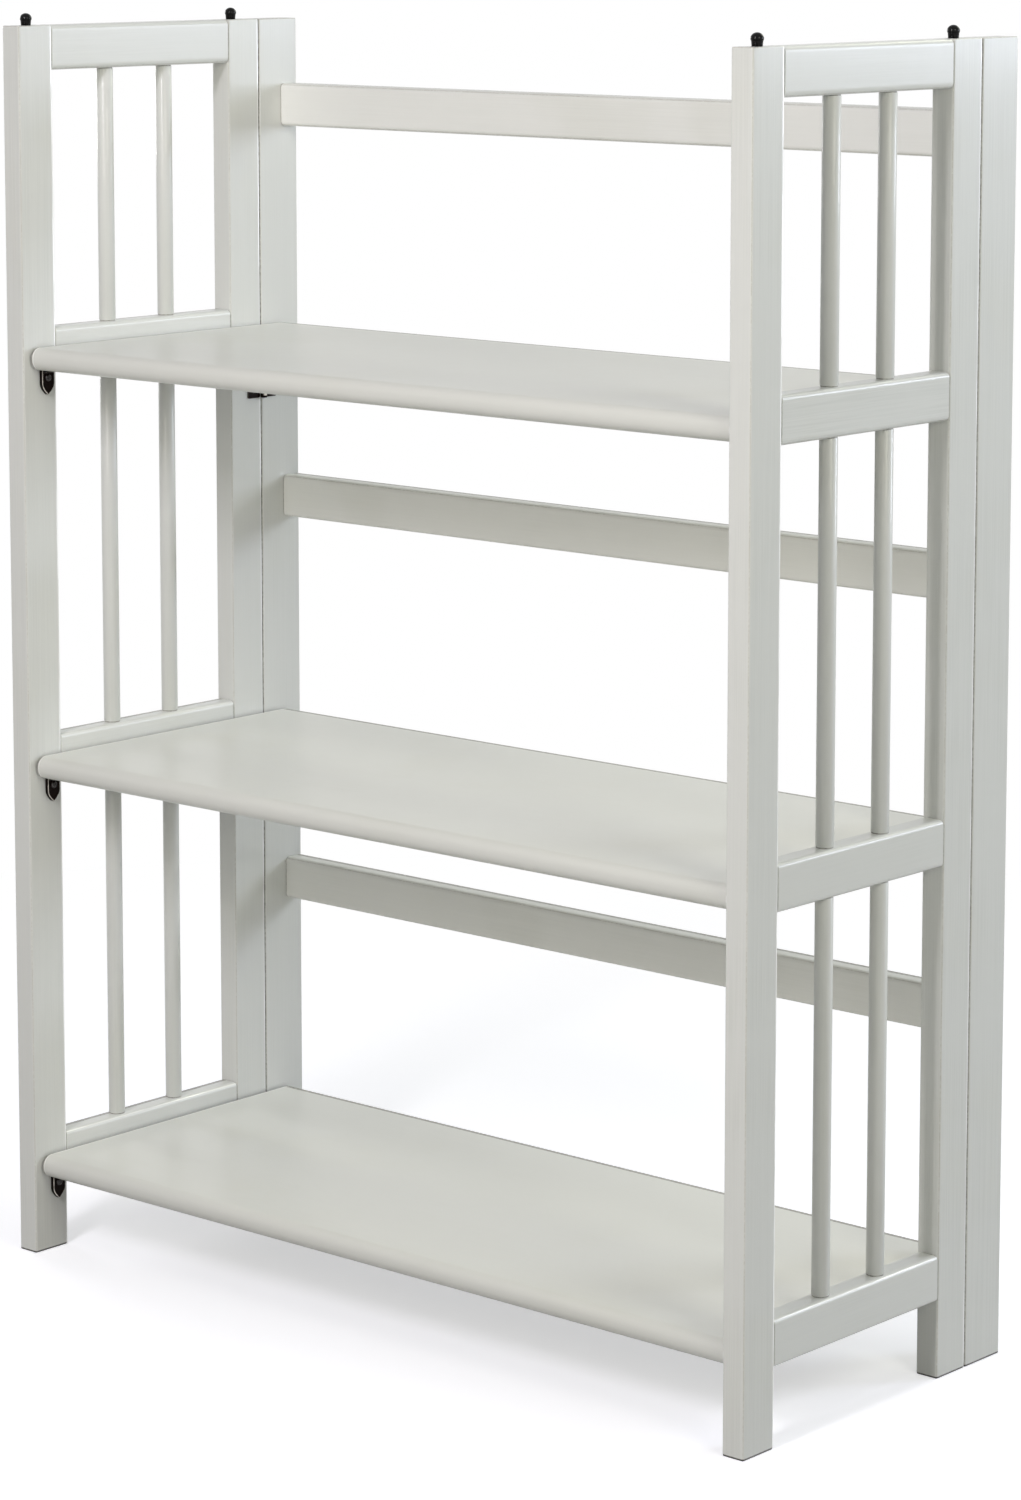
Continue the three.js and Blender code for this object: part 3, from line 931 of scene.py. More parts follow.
def bar(low, high, axis, radii, steps, ease, end_seams=(None, None), holes=(None, None),
        side_seam=False, top_glint=0.0, end_glint=0.0, far_shade=0.0):
    """A shell of a long piece with rounded edges and eased ends.

    An end seam is (reach, strength) and darkens the low or high end: a joint line at a rail's end, and a
    painted shadow at a foot or a shelf's end. A hole at the low or high end is (centre, diameter, depth).
    The top is the high side of a rail or shelf, and the rear of an upright. A side seam shades the two
    edges across from the top. top_glint is the share of painted highlight along the two edges of the top,
    in place of wear. end_glint is the width of a line of painted highlight beside each end seam, and
    far_shade the width of a dark line of painted shade along the far edge of the top.
    """
    ease_steps = 3
    hole_sides = 32
    seam_reach = 0.6 * radii[0]
    # share of the end glint's width, brightness of its painted highlight
    glint_rings = ((0.3, 1.0), (0.7, 1.0), (1.0, 0.0)) if end_glint else ()
    shell = Shell()
    across, upward = other_axes(axis)
    corner_low = (low[across], low[upward])
    corner_high = (high[across], high[upward])
    middle = (low[upward] + high[upward]) / 2
    arc_start = high[upward] - radii[0] - 0.01 * MM
    arc_end = high[upward] - 0.2 * MM

    def top_glint_share(v, wear):
        """The share of painted highlight at a point of the section: on the whole arc of an upright's rear
        edges, and only where the edge would wear on a rail."""
        if axis == Z:
            return float(arc_start < v < arc_end)
        return top_glint * wear if v > middle else 0.0

    def add_ring(at, inset=0.0, edge_share=0.0, seam=0.0, glint_share=0.0):
        points, wear = rounded_section(corner_low, corner_high, radii, steps, inset)
        far_shaded = [0.0] * len(points)
        if far_shade:
            points, wear, far_shaded = add_far_shade(points, wear, steps, axis, far_shade)
        worn = [0.0 if seam else max(value, edge_share) for value in wear]
        shade = [max(seam, value) for value in far_shaded]
        glint = [glint_share] * len(points)
        if side_seam:
            shade = [max(seam, 1 - abs(v - low[upward]) / seam_reach) for _, v in points]
        if top_glint:
            worn = [0.0 if v > middle else value for value, (_, v) in zip(worn, points)]
            glint = [top_glint_share(v, value) for value, (_, v) in zip(wear, points)]
        return shell.ring(place_section(points, axis, at), worn, shade, glint)

    ends = []
    for end, inward, end_seam in ((low[axis], 1, end_seams[0]), (high[axis], -1, end_seams[1])):
        reach, strength = end_seam or (0.0, 0.0)
        rings = []
        for step in range(ease_steps + 1):
            angle = math.pi / 2 * step / ease_steps
            at = end + inward * ease * (1 - math.cos(angle))
            edge_share = 0.0 if end_seam else math.sin(2 * angle)
            rings.append(add_ring(at, ease * (1 - math.sin(angle)), edge_share, strength))
        if end_seam:
            rings.append(add_ring(end + inward * (ease + reach)))
            for share, brightness in glint_rings:
                at = end + inward * (ease + reach + share * end_glint)
                rings.append(add_ring(at, glint_share=brightness))
        ends.append(rings)
    low_rings, high_rings = ends
    shell.skin(*low_rings, *reversed(high_rings))
    for rings, hole, inward in ((low_rings, holes[0], 1), (high_rings, holes[1], -1)):
        if hole:
            centre, diameter, depth = hole
            shell.cap(rings[0], shell.pocket(centre, axis, inward, diameter / 2, depth, hole_sides))
        else:
            shell.cap(rings[0])
    return shell


def lathe(centre, axis, profile, sides):
    """A shell turned about an axis. profile is a list of (distance along the axis, radius) from one end
    to the other."""
    shell = Shell()
    shell.solid(*[
        shell.ring(circle(moved(centre, axis, along), axis, radius, sides))
        for along, radius in profile
    ])
    return shell


def drawn_in(outline, distance):
    """A closed outline that turns left, moved inwards by a distance."""
    count = len(outline)
    least_bend = 0.3
    result = []
    for i, point in enumerate(outline):
        before = (point - outline[i - 1]).normalized()
        after = (outline[(i + 1) % count] - point).normalized()
        inward = Vector((-before.y - after.y, before.x + after.x)).normalized()
        bend = max(inward.dot(Vector((-after.y, after.x))), least_bend)
        result.append(point + inward * distance / bend)
    return result


def add_plate(shell, outline, layers, place, most_wear_and_glint=None):
    """Adds a flat piece to a shell, with an outline that is drawn in towards its faces.

    A layer is (how far it is drawn in, depth, wear), and place turns a point of the outline and a depth
    into a point of the bookcase. most_wear_and_glint gives the limit of the wear and painted glint at a
    point of the outline.
    """
    rings = []
    for inset, depth, wear in layers:
        drawn = drawn_in(outline, inset)
        worn = [min(wear, most_wear_and_glint(point)) for point in drawn] if most_wear_and_glint else wear
        rings.append(shell.ring([place(point, depth) for point in drawn], worn))
    shell.solid(*rings)


# Geometry Nodes


SOCKETS = {
    "Geometry": "NodeSocketGeometry",
    "Material": "NodeSocketMaterial",
    "Seed": "NodeSocketInt",
    "Sides": "NodeSocketInt",
}


def new_tree(name, inputs):
    """A geometry node tree with these inputs besides its geometry, and the values of its input node."""
    tree = bpy.data.node_groups.new(name, "GeometryNodeTree")
    for title in ("Geometry", *inputs):
        kind = SOCKETS.get(title, "NodeSocketFloat")
        tree.interface.new_socket(name=title, in_out="INPUT", socket_type=kind)
    tree.interface.new_socket(name="Geometry", in_out="OUTPUT", socket_type="NodeSocketGeometry")
    graph = Graph(tree)
    return graph, graph.node("NodeGroupInput")


def close_tree(graph, instances, finish):
    """Ends a tree in real geometry with its material."""
    solid = graph.node("GeometryNodeRealizeInstances", inputs={"Geometry": instances})[0]
    dressed = graph.node("GeometryNodeSetMaterial", inputs={"Geometry": solid, "Material": finish})[0]
    graph.node("NodeGroupOutput", inputs={"Geometry": dressed})
    return graph.tree


def grow(name, points, tree, values, facing=None):
    """The plain mesh that a tree makes at some points, as a new object. The points can face one way."""
    seed_mesh = bpy.data.meshes.new(name + "_points")
    seed_mesh.from_pydata(points, [], [])
    if facing:
        store_vectors(seed_mesh, "facing", facing * len(points))
    seed = show(name + "_points", seed_mesh)
    modifier = seed.modifiers.new(tree.name, "NODES")
    modifier.node_group = tree
    for item in tree.interface.items_tree:
        if item.in_out == "INPUT" and item.name in values:
            modifier[item.identifier] = values[item.name]
    evaluated = seed.evaluated_get(bpy.context.evaluated_depsgraph_get())
    mesh = bpy.data.meshes.new_from_object(evaluated)
    seed.modifiers.remove(modifier)
    bpy.data.objects.remove(seed)
    mesh.name = name
    return show(name, mesh)


def spindle_tree():
    """A round spindle up from each point, with a narrow groove around both of its seats."""
    names = ("Length", "Radius", "Groove", "Seat", "Sides", "Material")
    graph, given = new_tree("spindles", names)

    # Six rings: three a seat's length apart at the foot, and three at the top
    line = graph.node("GeometryNodeMeshLine", {"mode": "OFFSET"}, {"Count": 6})[0]
    number = graph.node("GeometryNodeInputIndex")[0]
    low_rings = graph.math("MINIMUM", number, 2.0)
    shaft = graph.math("MINIMUM", graph.math("MAXIMUM", number - 2.0, 0.0), 1.0)
    high_rings = graph.math("MAXIMUM", number - 3.0, 0.0)
    seat = given["Seat"]
    height = low_rings * seat + shaft * (given["Length"] - seat * 4.0) + high_rings * seat
    place = graph.node("ShaderNodeCombineXYZ", inputs={"Z": height})[0]
    line = graph.node("GeometryNodeSetPosition", inputs={"Geometry": line, "Position": place})[0]
    at_seat = graph.math("GREATER_THAN", graph.math("ABSOLUTE", number - 2.5), 1.0)
    marks = {"Geometry": line, "Name": "seam", "Value": at_seat}
    line = graph.node("GeometryNodeStoreNamedAttribute", {"data_type": "FLOAT"}, marks)[0]
    curve = graph.node("GeometryNodeMeshToCurve", inputs={"Mesh": line})[0]
    hoop = {"Resolution": given["Sides"], "Radius": 1.0}
    hoop = graph.node("GeometryNodeCurvePrimitiveCircle", {"mode": "RADIUS"}, hoop)[0]
    seam = graph.node("GeometryNodeInputNamedAttribute", {"data_type": "FLOAT"}, {"Name": "seam"})[0]
    swept = {
        "Curve": curve,
        "Profile Curve": hoop,
        "Scale": given["Radius"] - given["Groove"] * seam,
        "Fill Caps": True,
    }
    swept = graph.node("GeometryNodeCurveToMesh", inputs=swept)[0]
    smooth = graph.node("GeometryNodeSetShadeSmooth", inputs={"Geometry": swept})[0]
    row = {"Points": given["Geometry"], "Instance": smooth}
    row = graph.node("GeometryNodeInstanceOnPoints", inputs=row)[0]
    return close_tree(graph, row, given["Material"])


def screw_tree():
    """A cross-recessed screw at each point, with its head towards "facing" and turned at random."""
    names = ("Radius", "Dome", "Edge", "Recess", "Shank", "Reach", "Seed", "Material")
    graph, given = new_tree("screws", names)
    drum = {
        "Vertices": 40,
        "Fill Segments": 12,
        "Radius": given["Radius"],
        "Depth": given["Edge"],
    }
    head = graph.node("GeometryNodeMeshCylinder", inputs=drum)
    split = graph.node("ShaderNodeSeparateXYZ", inputs={0: graph.node("GeometryNodeInputPosition")[0]})
    right, ahead = graph.math("ABSOLUTE", split["X"]), graph.math("ABSOLUTE", split["Y"])
    share = (right * right + ahead * ahead) / (given["Radius"] * given["Radius"])
    dome = graph.math("SQRT", graph.math("MAXIMUM", 1.0 - share, 0.0)) * given["Dome"]
    arm_width, arm_length = given["Radius"] * 0.17, given["Radius"] * 0.62
    narrow = graph.math("MINIMUM", right, ahead) / arm_width
    far = graph.math("MAXIMUM", right, ahead) / arm_length
    cross = (1.0 - graph.ease(narrow, 0.7, 1.3)) * (1.0 - graph.ease(far, 0.85, 1.1))
    lift = graph.node("ShaderNodeCombineXYZ", inputs={"Z": dome - cross * given["Recess"]})[0]
    raised = {"Geometry": head["Mesh"], "Selection": head["Top"], "Offset": lift}
    head = graph.node("GeometryNodeSetPosition", inputs=raised)[0]
    rod = {"Vertices": 16, "Radius": given["Shank"], "Depth": given["Reach"]}
    rod = graph.node("GeometryNodeMeshCylinder", inputs=rod)["Mesh"]
    drop = graph.node("ShaderNodeCombineXYZ", inputs={"Z": given["Reach"] * -0.5})[0]
    rod = graph.node("GeometryNodeTransform", inputs={"Geometry": rod, "Translation": drop})[0]
    join = graph.node("GeometryNodeJoinGeometry")
    for part in (head, rod):
        graph.tree.links.new(part.socket, join.node.inputs[0])
    smooth = graph.node("GeometryNodeSetShadeSmooth", inputs={"Geometry": join[0]})[0]
    facing = {"Name": "facing"}
    facing = graph.node("GeometryNodeInputNamedAttribute", {"data_type": "FLOAT_VECTOR"}, facing)[0]
    aim = graph.node("FunctionNodeAlignRotationToVector", {"axis": "Z"}, {"Vector": facing})[0]
    turn = {2: 0.0, 3: math.pi, "Seed": given["Seed"]}
    turn = graph.node("FunctionNodeRandomValue", {"data_type": "FLOAT"}, turn)[1]
    spin = graph.node("FunctionNodeAxisAngleToRotation", inputs={"Axis": (0, 0, 1), "Angle": turn})[0]
    both = {"Rotation": aim, "Rotate By": spin}
    both = graph.node("FunctionNodeRotateRotation", {"rotation_space": "LOCAL"}, both)[0]
    row = {"Points": given["Geometry"], "Instance": smooth, "Rotation": both}
    row = graph.node("GeometryNodeInstanceOnPoints", inputs=row)[0]
    return close_tree(graph, row, given["Material"])


# Pieces


# diameter, depth
POST_SOCKET = (11 * MM, 12 * MM)
POST_BORE = (5.3 * MM, 16.2 * MM)
# reach, strength of the painted shadow in the gap at each end of a shelf
SHELF_END_SHADOW = (0.7 * MM, 1.3)
# Strength of the painted contact shadow round the foot of each post and stile
FOOT_SHADOW = 2.0
FRONT_SEAM, REAR_SEAM = 0.5, 0.9
BACK_FRAME_SEAM = 0.8
# Share of the painted highlight along the top edges of the upper side rails
UPPER_RAIL_GLINT = 0.65
# Width of the painted highlight beside each end of a shelf
SHELF_END_GLINT = 1.3 * MM


def add_uprights(nodes_and_pins):
    """Posts and stiles. A post has a bore on top for its stacking pin and a socket below, and a stile
    has a dark line along the seam to its post."""
    wood = bpy.context.scene.bookcase_wood
    radii = [wood.upright_edge] * 4
    # Painted contact shadow round the foot of each upright
    seams = ((wood.foot_shadow, FOOT_SHADOW), None)
    for node, pin in nodes_and_pins:
        low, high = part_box(node)
        holes = (None, None)
        if pin:
            pin_low, pin_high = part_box(pin)
            centre = (pin_low + pin_high) / 2
            foot = Vector((centre.x, centre.y, low.z))
            top = Vector((centre.x, centre.y, high.z))
            holes = ((foot, *POST_SOCKET), (top, *POST_BORE))
        # Posts get a painted highlight along their rear edges
        shell = bar(low, high, Z, radii, wood.corner_steps, wood.end_ease, seams, holes,
                    side_seam=not pin, top_glint=1.0 if pin else 0.0)
        stand_for(shell.piece(node + "_body", paint_along(Z)), "white_painted_wood", node)


class BOOKCASE_OT_build_posts(Operator):
    """Builds the four posts of the side panels"""

    bl_idname = "bookcase.build_posts"
    bl_label = "Build Posts"

    def execute(self, context):
        posts = [f"{side}_{place}" for side, _ in SIDES for place in ("front", "rear")]
        add_uprights([(name + "_post", name + "_stacking_pin") for name in posts])
        return {"FINISHED"}


class BOOKCASE_OT_build_stiles(Operator):
    """Builds the two stiles of the back frame"""

    bl_idname = "bookcase.build_stiles"
    bl_label = "Build Stiles"

    def execute(self, context):
        add_uprights([(f"{side}_stile", None) for side, _ in SIDES])
        return {"FINISHED"}


def add_rail(node, axis, start, end):
    """A rail between two faces, as high and thick as its CAD node. Side rails run along Y, and the
    rails of the back frame along X."""
    wood = bpy.context.scene.bookcase_wood
    low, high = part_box(node)
    low[axis], high[axis] = start, end
    radii = [wood.rail_edge] * 4
    strengths = (FRONT_SEAM, REAR_SEAM) if axis == Y else (BACK_FRAME_SEAM, BACK_FRAME_SEAM)
    seams = [(wood.seam_reach, strength) for strength in strengths]
    # Painted shade along the far top edge of the back rails and the left side rails
    far_shade = wood.far_edge_shade if axis == X or node.startswith("left") else 0.0
    # Painted highlight along the top edges of the side rails, fullest on the lower ones
    top_glint = 0.0
    if axis == Y:
        top_glint = 1.0 if "lower" in node else UPPER_RAIL_GLINT
    shell = bar(low, high, axis, radii, wood.corner_steps, wood.butt_ease, seams,
                top_glint=top_glint, far_shade=far_shade)
    stand_for(shell.piece(node + "_body", paint_along(axis)), "white_painted_wood", node)


class BOOKCASE_OT_build_side_rails(Operator):
    """Builds the four rails of each side panel"""

    bl_idname = "bookcase.build_side_rails"
    bl_label = "Build Side Rails"

    def execute(self, context):
        for side, _ in SIDES:
            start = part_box(f"{side}_front_post")[1].y
            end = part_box(f"{side}_rear_post")[0].y
            for level in (*LEVELS, "top"):
                add_rail(f"{side}_{level}_rail", Y, start, end)
        return {"FINISHED"}


class BOOKCASE_OT_build_back_rails(Operator):
    """Builds the three rails of the back frame"""

    bl_idname = "bookcase.build_back_rails"
    bl_label = "Build Back Rails"

    def execute(self, context):
        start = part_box("left_stile")[1].x
        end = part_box("right_stile")[0].x
        for level in LEVELS:
            add_rail(f"{level}_back_rail", X, start, end)
        return {"FINISHED"}


class BOOKCASE_OT_build_spindles(Operator):
    """Builds the round spindles of the side panels, a row to each bay"""

    bl_idname = "bookcase.build_spindles"
    bl_label = "Build Spindles"

    def execute(self, context):
        wood = context.scene.bookcase_wood
        tree = spindle_tree()
        for side, _ in SIDES:
            rails = [f"{side}_{level}_rail" for level in (*LEVELS, "top")]
            for level, rail, rail_above in zip(LEVELS, rails, rails[1:]):
                start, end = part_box(rail)[1].z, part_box(rail_above)[0].z
                nodes = [f"{side}_{level}_spindle_{number}" for number in (1, 2)]
                centres = [sum(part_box(node), Vector()) / 2 for node in nodes]
                values = {
                    "Length": end - start,
                    "Radius": span(nodes[0], X) / 2,
                    "Groove": wood.seat_groove,
                    "Seat": wood.seam_reach,
                    "Sides": wood.spindle_sides,
                    "Material": paint_along(Z),
                }
                feet = [(centre.x, centre.y, start) for centre in centres]
                row = grow(f"{side}_{level}_spindles", feet, tree, values)
                mark_board(row.data, row.name)
                stand_for(row, "white_painted_wood", *nodes)
        return {"FINISHED"}


class BOOKCASE_OT_build_shelves(Operator):
    """Builds the three shelves, with a full round nose along the front"""

    bl_idname = "bookcase.build_shelves"
    bl_label = "Build Shelves"

    def execute(self, context):
        wood = context.scene.bookcase_wood
        radii = (wood.shelf_rear, wood.shelf_nose, wood.shelf_nose, wood.shelf_rear)
        # Painted shadow at each end, painted highlight beside it, and painted shade along the rear top edge
        seams = (SHELF_END_SHADOW, SHELF_END_SHADOW)
        for level in LEVELS:
            node = f"{level}_shelf"
            low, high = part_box(node)
            shell = bar(low, high, X, radii, wood.nose_steps, wood.end_ease, seams,
                        end_glint=SHELF_END_GLINT, far_shade=wood.far_edge_shade)
            stand_for(shell.piece(node + "_board", shelf_paint()), "white_painted_wood", node)
        return {"FINISHED"}


def pin_profile(bottom, head, top):
    """The half outline of a stacking pin, from the bottom of its shank to the edge of its crown, with
    heights from the top of the post."""
    shank, chamfer = 2.5 * MM, 0.5 * MM
    foot, fillet = 3.65 * MM, 0.25 * MM
    neck, neck_top = 3.95 * MM, 3.6 * MM
    middle = 5.0 * MM
    underside_steps, dome_steps = 6, 16
    profile = [(bottom, shank - chamfer), (bottom + chamfer, shank), (0.0, shank)]
    profile += [(0.0, foot - fillet), (fillet, foot)]
    start = math.acos(neck / head)
    underside = (middle - neck_top) / math.sin(start)
    for step in range(-underside_steps, dome_steps):
        if step < 0:
            angle, half_height = start * step / underside_steps, underside
        else:
            angle, half_height = math.pi / 2 * step / dome_steps, top - middle
        profile.append((middle + half_height * math.sin(angle), head * math.cos(angle)))
    return profile


class BOOKCASE_OT_build_stacking_pins(Operator):
    """Builds the domed stacking pins on the posts"""

    bl_idname = "bookcase.build_stacking_pins"
    bl_label = "Build Stacking Pins"

    def execute(self, context):
        sides = 48
        for node in [n for n in frame["nodes"] if n.endswith("_stacking_pin")]:
            low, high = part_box(node)
            post_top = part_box(node.replace("stacking_pin", "post"))[1].z
            centre = Vector(((low.x + high.x) / 2, (low.y + high.y) / 2, post_top))
            profile = pin_profile(low.z - post_top, span(node, X) / 2, high.z - post_top)
            shell = lathe(centre, Z, profile, sides)
            tip = shell.faces.pop()
            top = shell.ring([moved(centre, Z, high.z - post_top)])[0]
            shell.faces += [(a, b, top) for a, b in zip(tip, tip[1:] + tip[:1])]
            piece = shell.piece(node + "_ball", material("stacking_pin_plastic"))
            stand_for(piece, "stacking_pin_plastic", node)
        return {"FINISHED"}


REST_THICKNESS = 3 * MM
REST_TONGUE = (
    # how far the outline is drawn in, depth from the post's face, wear and painted glint
    (0.0, 0.0, 0.0),
    (0.0, REST_THICKNESS - 0.5 * MM, 0.0),
    (0.12 * MM, REST_THICKNESS - 0.15 * MM, 1.1),
    (0.40 * MM, REST_THICKNESS, 1.1),
    (1.0 * MM, REST_THICKNESS, 0.3),
    (1.15 * MM, REST_THICKNESS - 0.05 * MM, 0.5),
    (1.4 * MM, REST_THICKNESS - 0.3 * MM, 0.3),
    (1.6 * MM, REST_THICKNESS - 0.5 * MM, 0.0),
)
REST_LEDGE = (
    # how far the outline is drawn in, drop below the top, wear
    (0.4 * MM, 0.0, 0.4),
    (0.12 * MM, 0.12 * MM, 1.0),
    (0.0, 0.4 * MM, 0.3),
    (0.0, 1.6 * MM, 0.3),
    (0.12 * MM, 1.88 * MM, 1.0),
    (0.4 * MM, 2.0 * MM, 0.4),
)


def tongue_outline(width, height, shoulder, cheek, tip):
    """The face of a shelf rest, with its top middle at the origin: straight sides down to the shoulder,
    drawn in past the cheek to a blunt point as wide as tip."""
    half = width / 2
    curve_steps = 10
    right_side = []
    for step in range(curve_steps + 1):
        t = step / curve_steps
        u = (1 - t) ** 2 * tip / 2 + 2 * t * (1 - t) * half + t ** 2 * half
        v = (1 - t) ** 2 * -height + 2 * t * (1 - t) * -cheek + t ** 2 * -shoulder
        right_side.append(Vector((u, v)))
    left_side = [Vector((-u, v)) for u, v in reversed(right_side)]
    return [*right_side, Vector((half, 0)), Vector((-half, 0)), *left_side]


def ledge_outline(reach, radius, start):
    """The ledge of a shelf rest from above, from its start in the tongue to its half round end."""
    curve_steps = 16
    outline = []
    for step in range(curve_steps + 1):
        angle = math.pi * (step / curve_steps - 0.5)
        outline.append(Vector((reach - radius + radius * math.cos(angle), radius * math.sin(angle))))
    return [*outline, Vector((start, radius)), Vector((start, -radius))]


def add_shelf_rest(node, side):
    """A stamped tongue with a raised rim on the post's face, and a round ledge under the shelf."""
    low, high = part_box(node)
    face = wood_face(node, side)
    centre_y = (low.y + high.y) / 2
    tip_start = -14 * MM

    def tongue_place(point, depth):
        return Vector((face - side * depth, centre_y + point.x, high.z + point.y))

    def ledge_place(point, drop):
        return Vector((face - side * point.x, centre_y + point.y, high.z - drop))

    def most_wear_and_glint(point):
        """The front half and the tip wear more than the rear half, and take a painted glint where the rim
        catches the light.
        """
        return 1.1 if point.x < 0 or point.y < tip_start else 0.5

    shell = Shell()
    tongue = tongue_outline(span(node, Y), span(node, Z), shoulder=10 * MM, cheek=14.2 * MM, tip=1.2 * MM)
    add_plate(shell, tongue, REST_TONGUE, tongue_place, most_wear_and_glint)
    ledge = ledge_outline(span(node, X), radius=5 * MM, start=1.5 * MM)
    add_plate(shell, ledge, REST_LEDGE, ledge_place)
    piece = shell.piece(node + "_bracket", material("black_hardware"))
    stand_for(piece, "black_hardware", node)


class BOOKCASE_OT_build_shelf_rests(Operator):
    """Builds the shelf rests on the front posts"""

    bl_idname = "bookcase.build_shelf_rests"
    bl_label = "Build Shelf Rests"

    def execute(self, context):
        for side, sign in SIDES:
            for level in LEVELS:
                add_shelf_rest(f"{side}_{level}_shelf_rest", sign)
        return {"FINISHED"}


def hinge_axis(side, level):
    """The middle of a hinge's pin, half way up its leaves."""
    pin_low, pin_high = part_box(f"{side}_{level}_hinge_pin")
    leaf_low, leaf_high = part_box(f"{side}_{level}_hinge_frame_leaf")
    middle = (pin_low + pin_high) / 2
    return Vector((middle.x, middle.y, (leaf_low.z + leaf_high.z) / 2))


KNUCKLES = 5
LEAF_THICKNESS = 1.2 * MM
LEAF_CORNER = 1.5 * MM
LEAF_EASE = 0.15 * MM
BARREL_RADIUS = 2.5 * MM
BORE_RADIUS = 1.35 * MM
BARREL_SIDES = 32
HINGE_GAP = 0.3 * MM
# the edge mark of the painted glint on the inner side of each bottom knuckle
KNUCKLE_GLINT = 1.4


def add_countersunk_hole(shell, place, top_face, wood_side):
    """Adds a hole through a leaf along X, and gives the rings at its two mouths."""
    top_radius, wood_radius, sides = 2.7 * MM, 1.6 * MM, 24
    wide = shell.ring(circle(moved(place, X, top_face), X, top_radius, sides), 0.8)
    narrow = shell.ring(circle(moved(place, X, wood_side), X, wood_radius, sides))
    shell.skin(wide, narrow)
    return wide, narrow


def add_tab(shell, faces, start, end, low, high):
    """Adds the flat strip that joins a leaf to one of its knuckles."""
    near, far = sorted((start, end))
    corners = ((near, low), (far, low), (far, high), (near, high))
    shell.solid(*[shell.ring([Vector((x, y, z)) for y, z in corners]) for x in faces])


def add_knuckle(shell, centre, half, inside, rubbed_and_glint):
    """A short tube about the hinge's pin, with eased ends. Its side towards the inside of the bookcase,
    1 or -1 along X, takes a painted glint of bare metal by some share."""
    knuckle_glint = [
        rubbed_and_glint * max(0.0, inside * math.cos(2 * math.pi * i / BARREL_SIDES)) for i in range(BARREL_SIDES)
    ]
    outer = [
        shell.ring(circle(moved(centre, Z, along), Z, size, BARREL_SIDES), edge)
        for along, size, edge in (
            (-half, BARREL_RADIUS - LEAF_EASE, 0.6),
            (-half + LEAF_EASE, BARREL_RADIUS, 0.7),
            (-half + 3 * LEAF_EASE, BARREL_RADIUS, 0.0),
            (-half + 1.2 * MM, BARREL_RADIUS, 0.0),
            (-half + 2.0 * MM, BARREL_RADIUS, knuckle_glint),
            (half - 3 * LEAF_EASE, BARREL_RADIUS, knuckle_glint),
            (half - LEAF_EASE, BARREL_RADIUS, 0.7),
            (half, BARREL_RADIUS - LEAF_EASE, 0.6),
        )
    ]
    inner = [
        shell.ring(circle(moved(centre, Z, along), Z, BORE_RADIUS, BARREL_SIDES)) for along in (-half, half)
    ]
    shell.skin(*outer)
    shell.skin(*inner)
    shell.skin(outer[0], inner[0])
    shell.skin(outer[-1], inner[-1])


def add_hinge_leaf(node, centre, side, away, first_knuckle):
    """One leaf: a plate with two countersunk holes, and knuckles rolled round the pin."""
    settings = bpy.context.scene.bookcase_hardware
    low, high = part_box(node)
    wood_side = wood_face(node, side)
    top_face = wood_side - side * LEAF_THICKNESS
    plate_start = BARREL_RADIUS + HINGE_GAP
    plate_end = (high.y - centre.y) if away > 0 else (centre.y - low.y)
    near, far = sorted((centre.y + away * plate_start, centre.y + away * plate_end))
    corner_steps = 4
    shell = Shell()
    rings = []
    for depth, inset, edge in (
        (0.0, 0.0, 0.0),
        (LEAF_THICKNESS - LEAF_EASE, 0.0, 0.4),
        (LEAF_THICKNESS - 0.3 * LEAF_EASE, 0.3 * LEAF_EASE, 1.0),
        (LEAF_THICKNESS, LEAF_EASE, 0.4),
    ):
        radii = [LEAF_CORNER] * 4
        points, _ = rounded_section((near, low.z), (far, high.z), radii, corner_steps, inset)
        rings.append(shell.ring(place_section(points, X, wood_side - side * depth), edge))
    shell.skin(*rings)
    holes = []
    for lift in (-0.5, 0.5):
        place = Vector((0, (near + far) / 2, centre.z + lift * settings.hinge_screw_spacing))
        holes.append(add_countersunk_hole(shell, place, top_face, wood_side))
    mouths, throats = zip(*holes)
    shell.cap(rings[0], *throats)
    shell.cap(rings[-1], *mouths)

    # The frame leaf has the outer knuckles, so its height gives their spacing
    pitch = (span(node.replace("panel_leaf", "frame_leaf"), Z) + HINGE_GAP) / KNUCKLES
    half = (pitch - HINGE_GAP) / 2
    for i in range(first_knuckle, KNUCKLES, 2):
        z = centre.z + (i + 0.5 - KNUCKLES / 2) * pitch
        # Painted highlight: only the bottom knuckle gets the glint of bare metal
        rubbed_and_glint = KNUCKLE_GLINT if i == 0 else 0.0
        add_knuckle(shell, Vector((centre.x, centre.y, z)), half, -side, rubbed_and_glint)
        tab_end = centre.y + away * (plate_start + LEAF_CORNER)
        add_tab(shell, (wood_side, top_face), centre.y, tab_end, z - half, z + half)
    piece = shell.piece(node + "_plate", material("black_hardware"))
    stand_for(piece, "black_hardware", node)


def add_hinge_pin(node, centre):
    """A steel pin with a tapered foot and a domed head on top."""
    low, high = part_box(node)
    radius, head = 1.2 * MM, span(node, X) / 2
    taper, rim, dome = 0.4 * MM, 0.4 * MM, 0.8 * MM
    dome_steps = 6
    base = low.z - centre.z
    shoulder = high.z - centre.z - rim - dome
    profile = [(base, 0.5 * radius), (base + taper, 0.9 * radius), (base + 2 * taper, radius)]
    profile += [(shoulder, radius), (shoulder, head), (shoulder + rim, head)]
    for step in range(1, dome_steps):
        angle = math.pi / 2 * step / dome_steps
        profile.append((shoulder + rim + dome * math.sin(angle), head * math.cos(angle)))
    shell = lathe(centre, Z, profile, BARREL_SIDES)
    stand_for(shell.piece(node + "_steel", material("bright_steel")), "bright_steel", node)


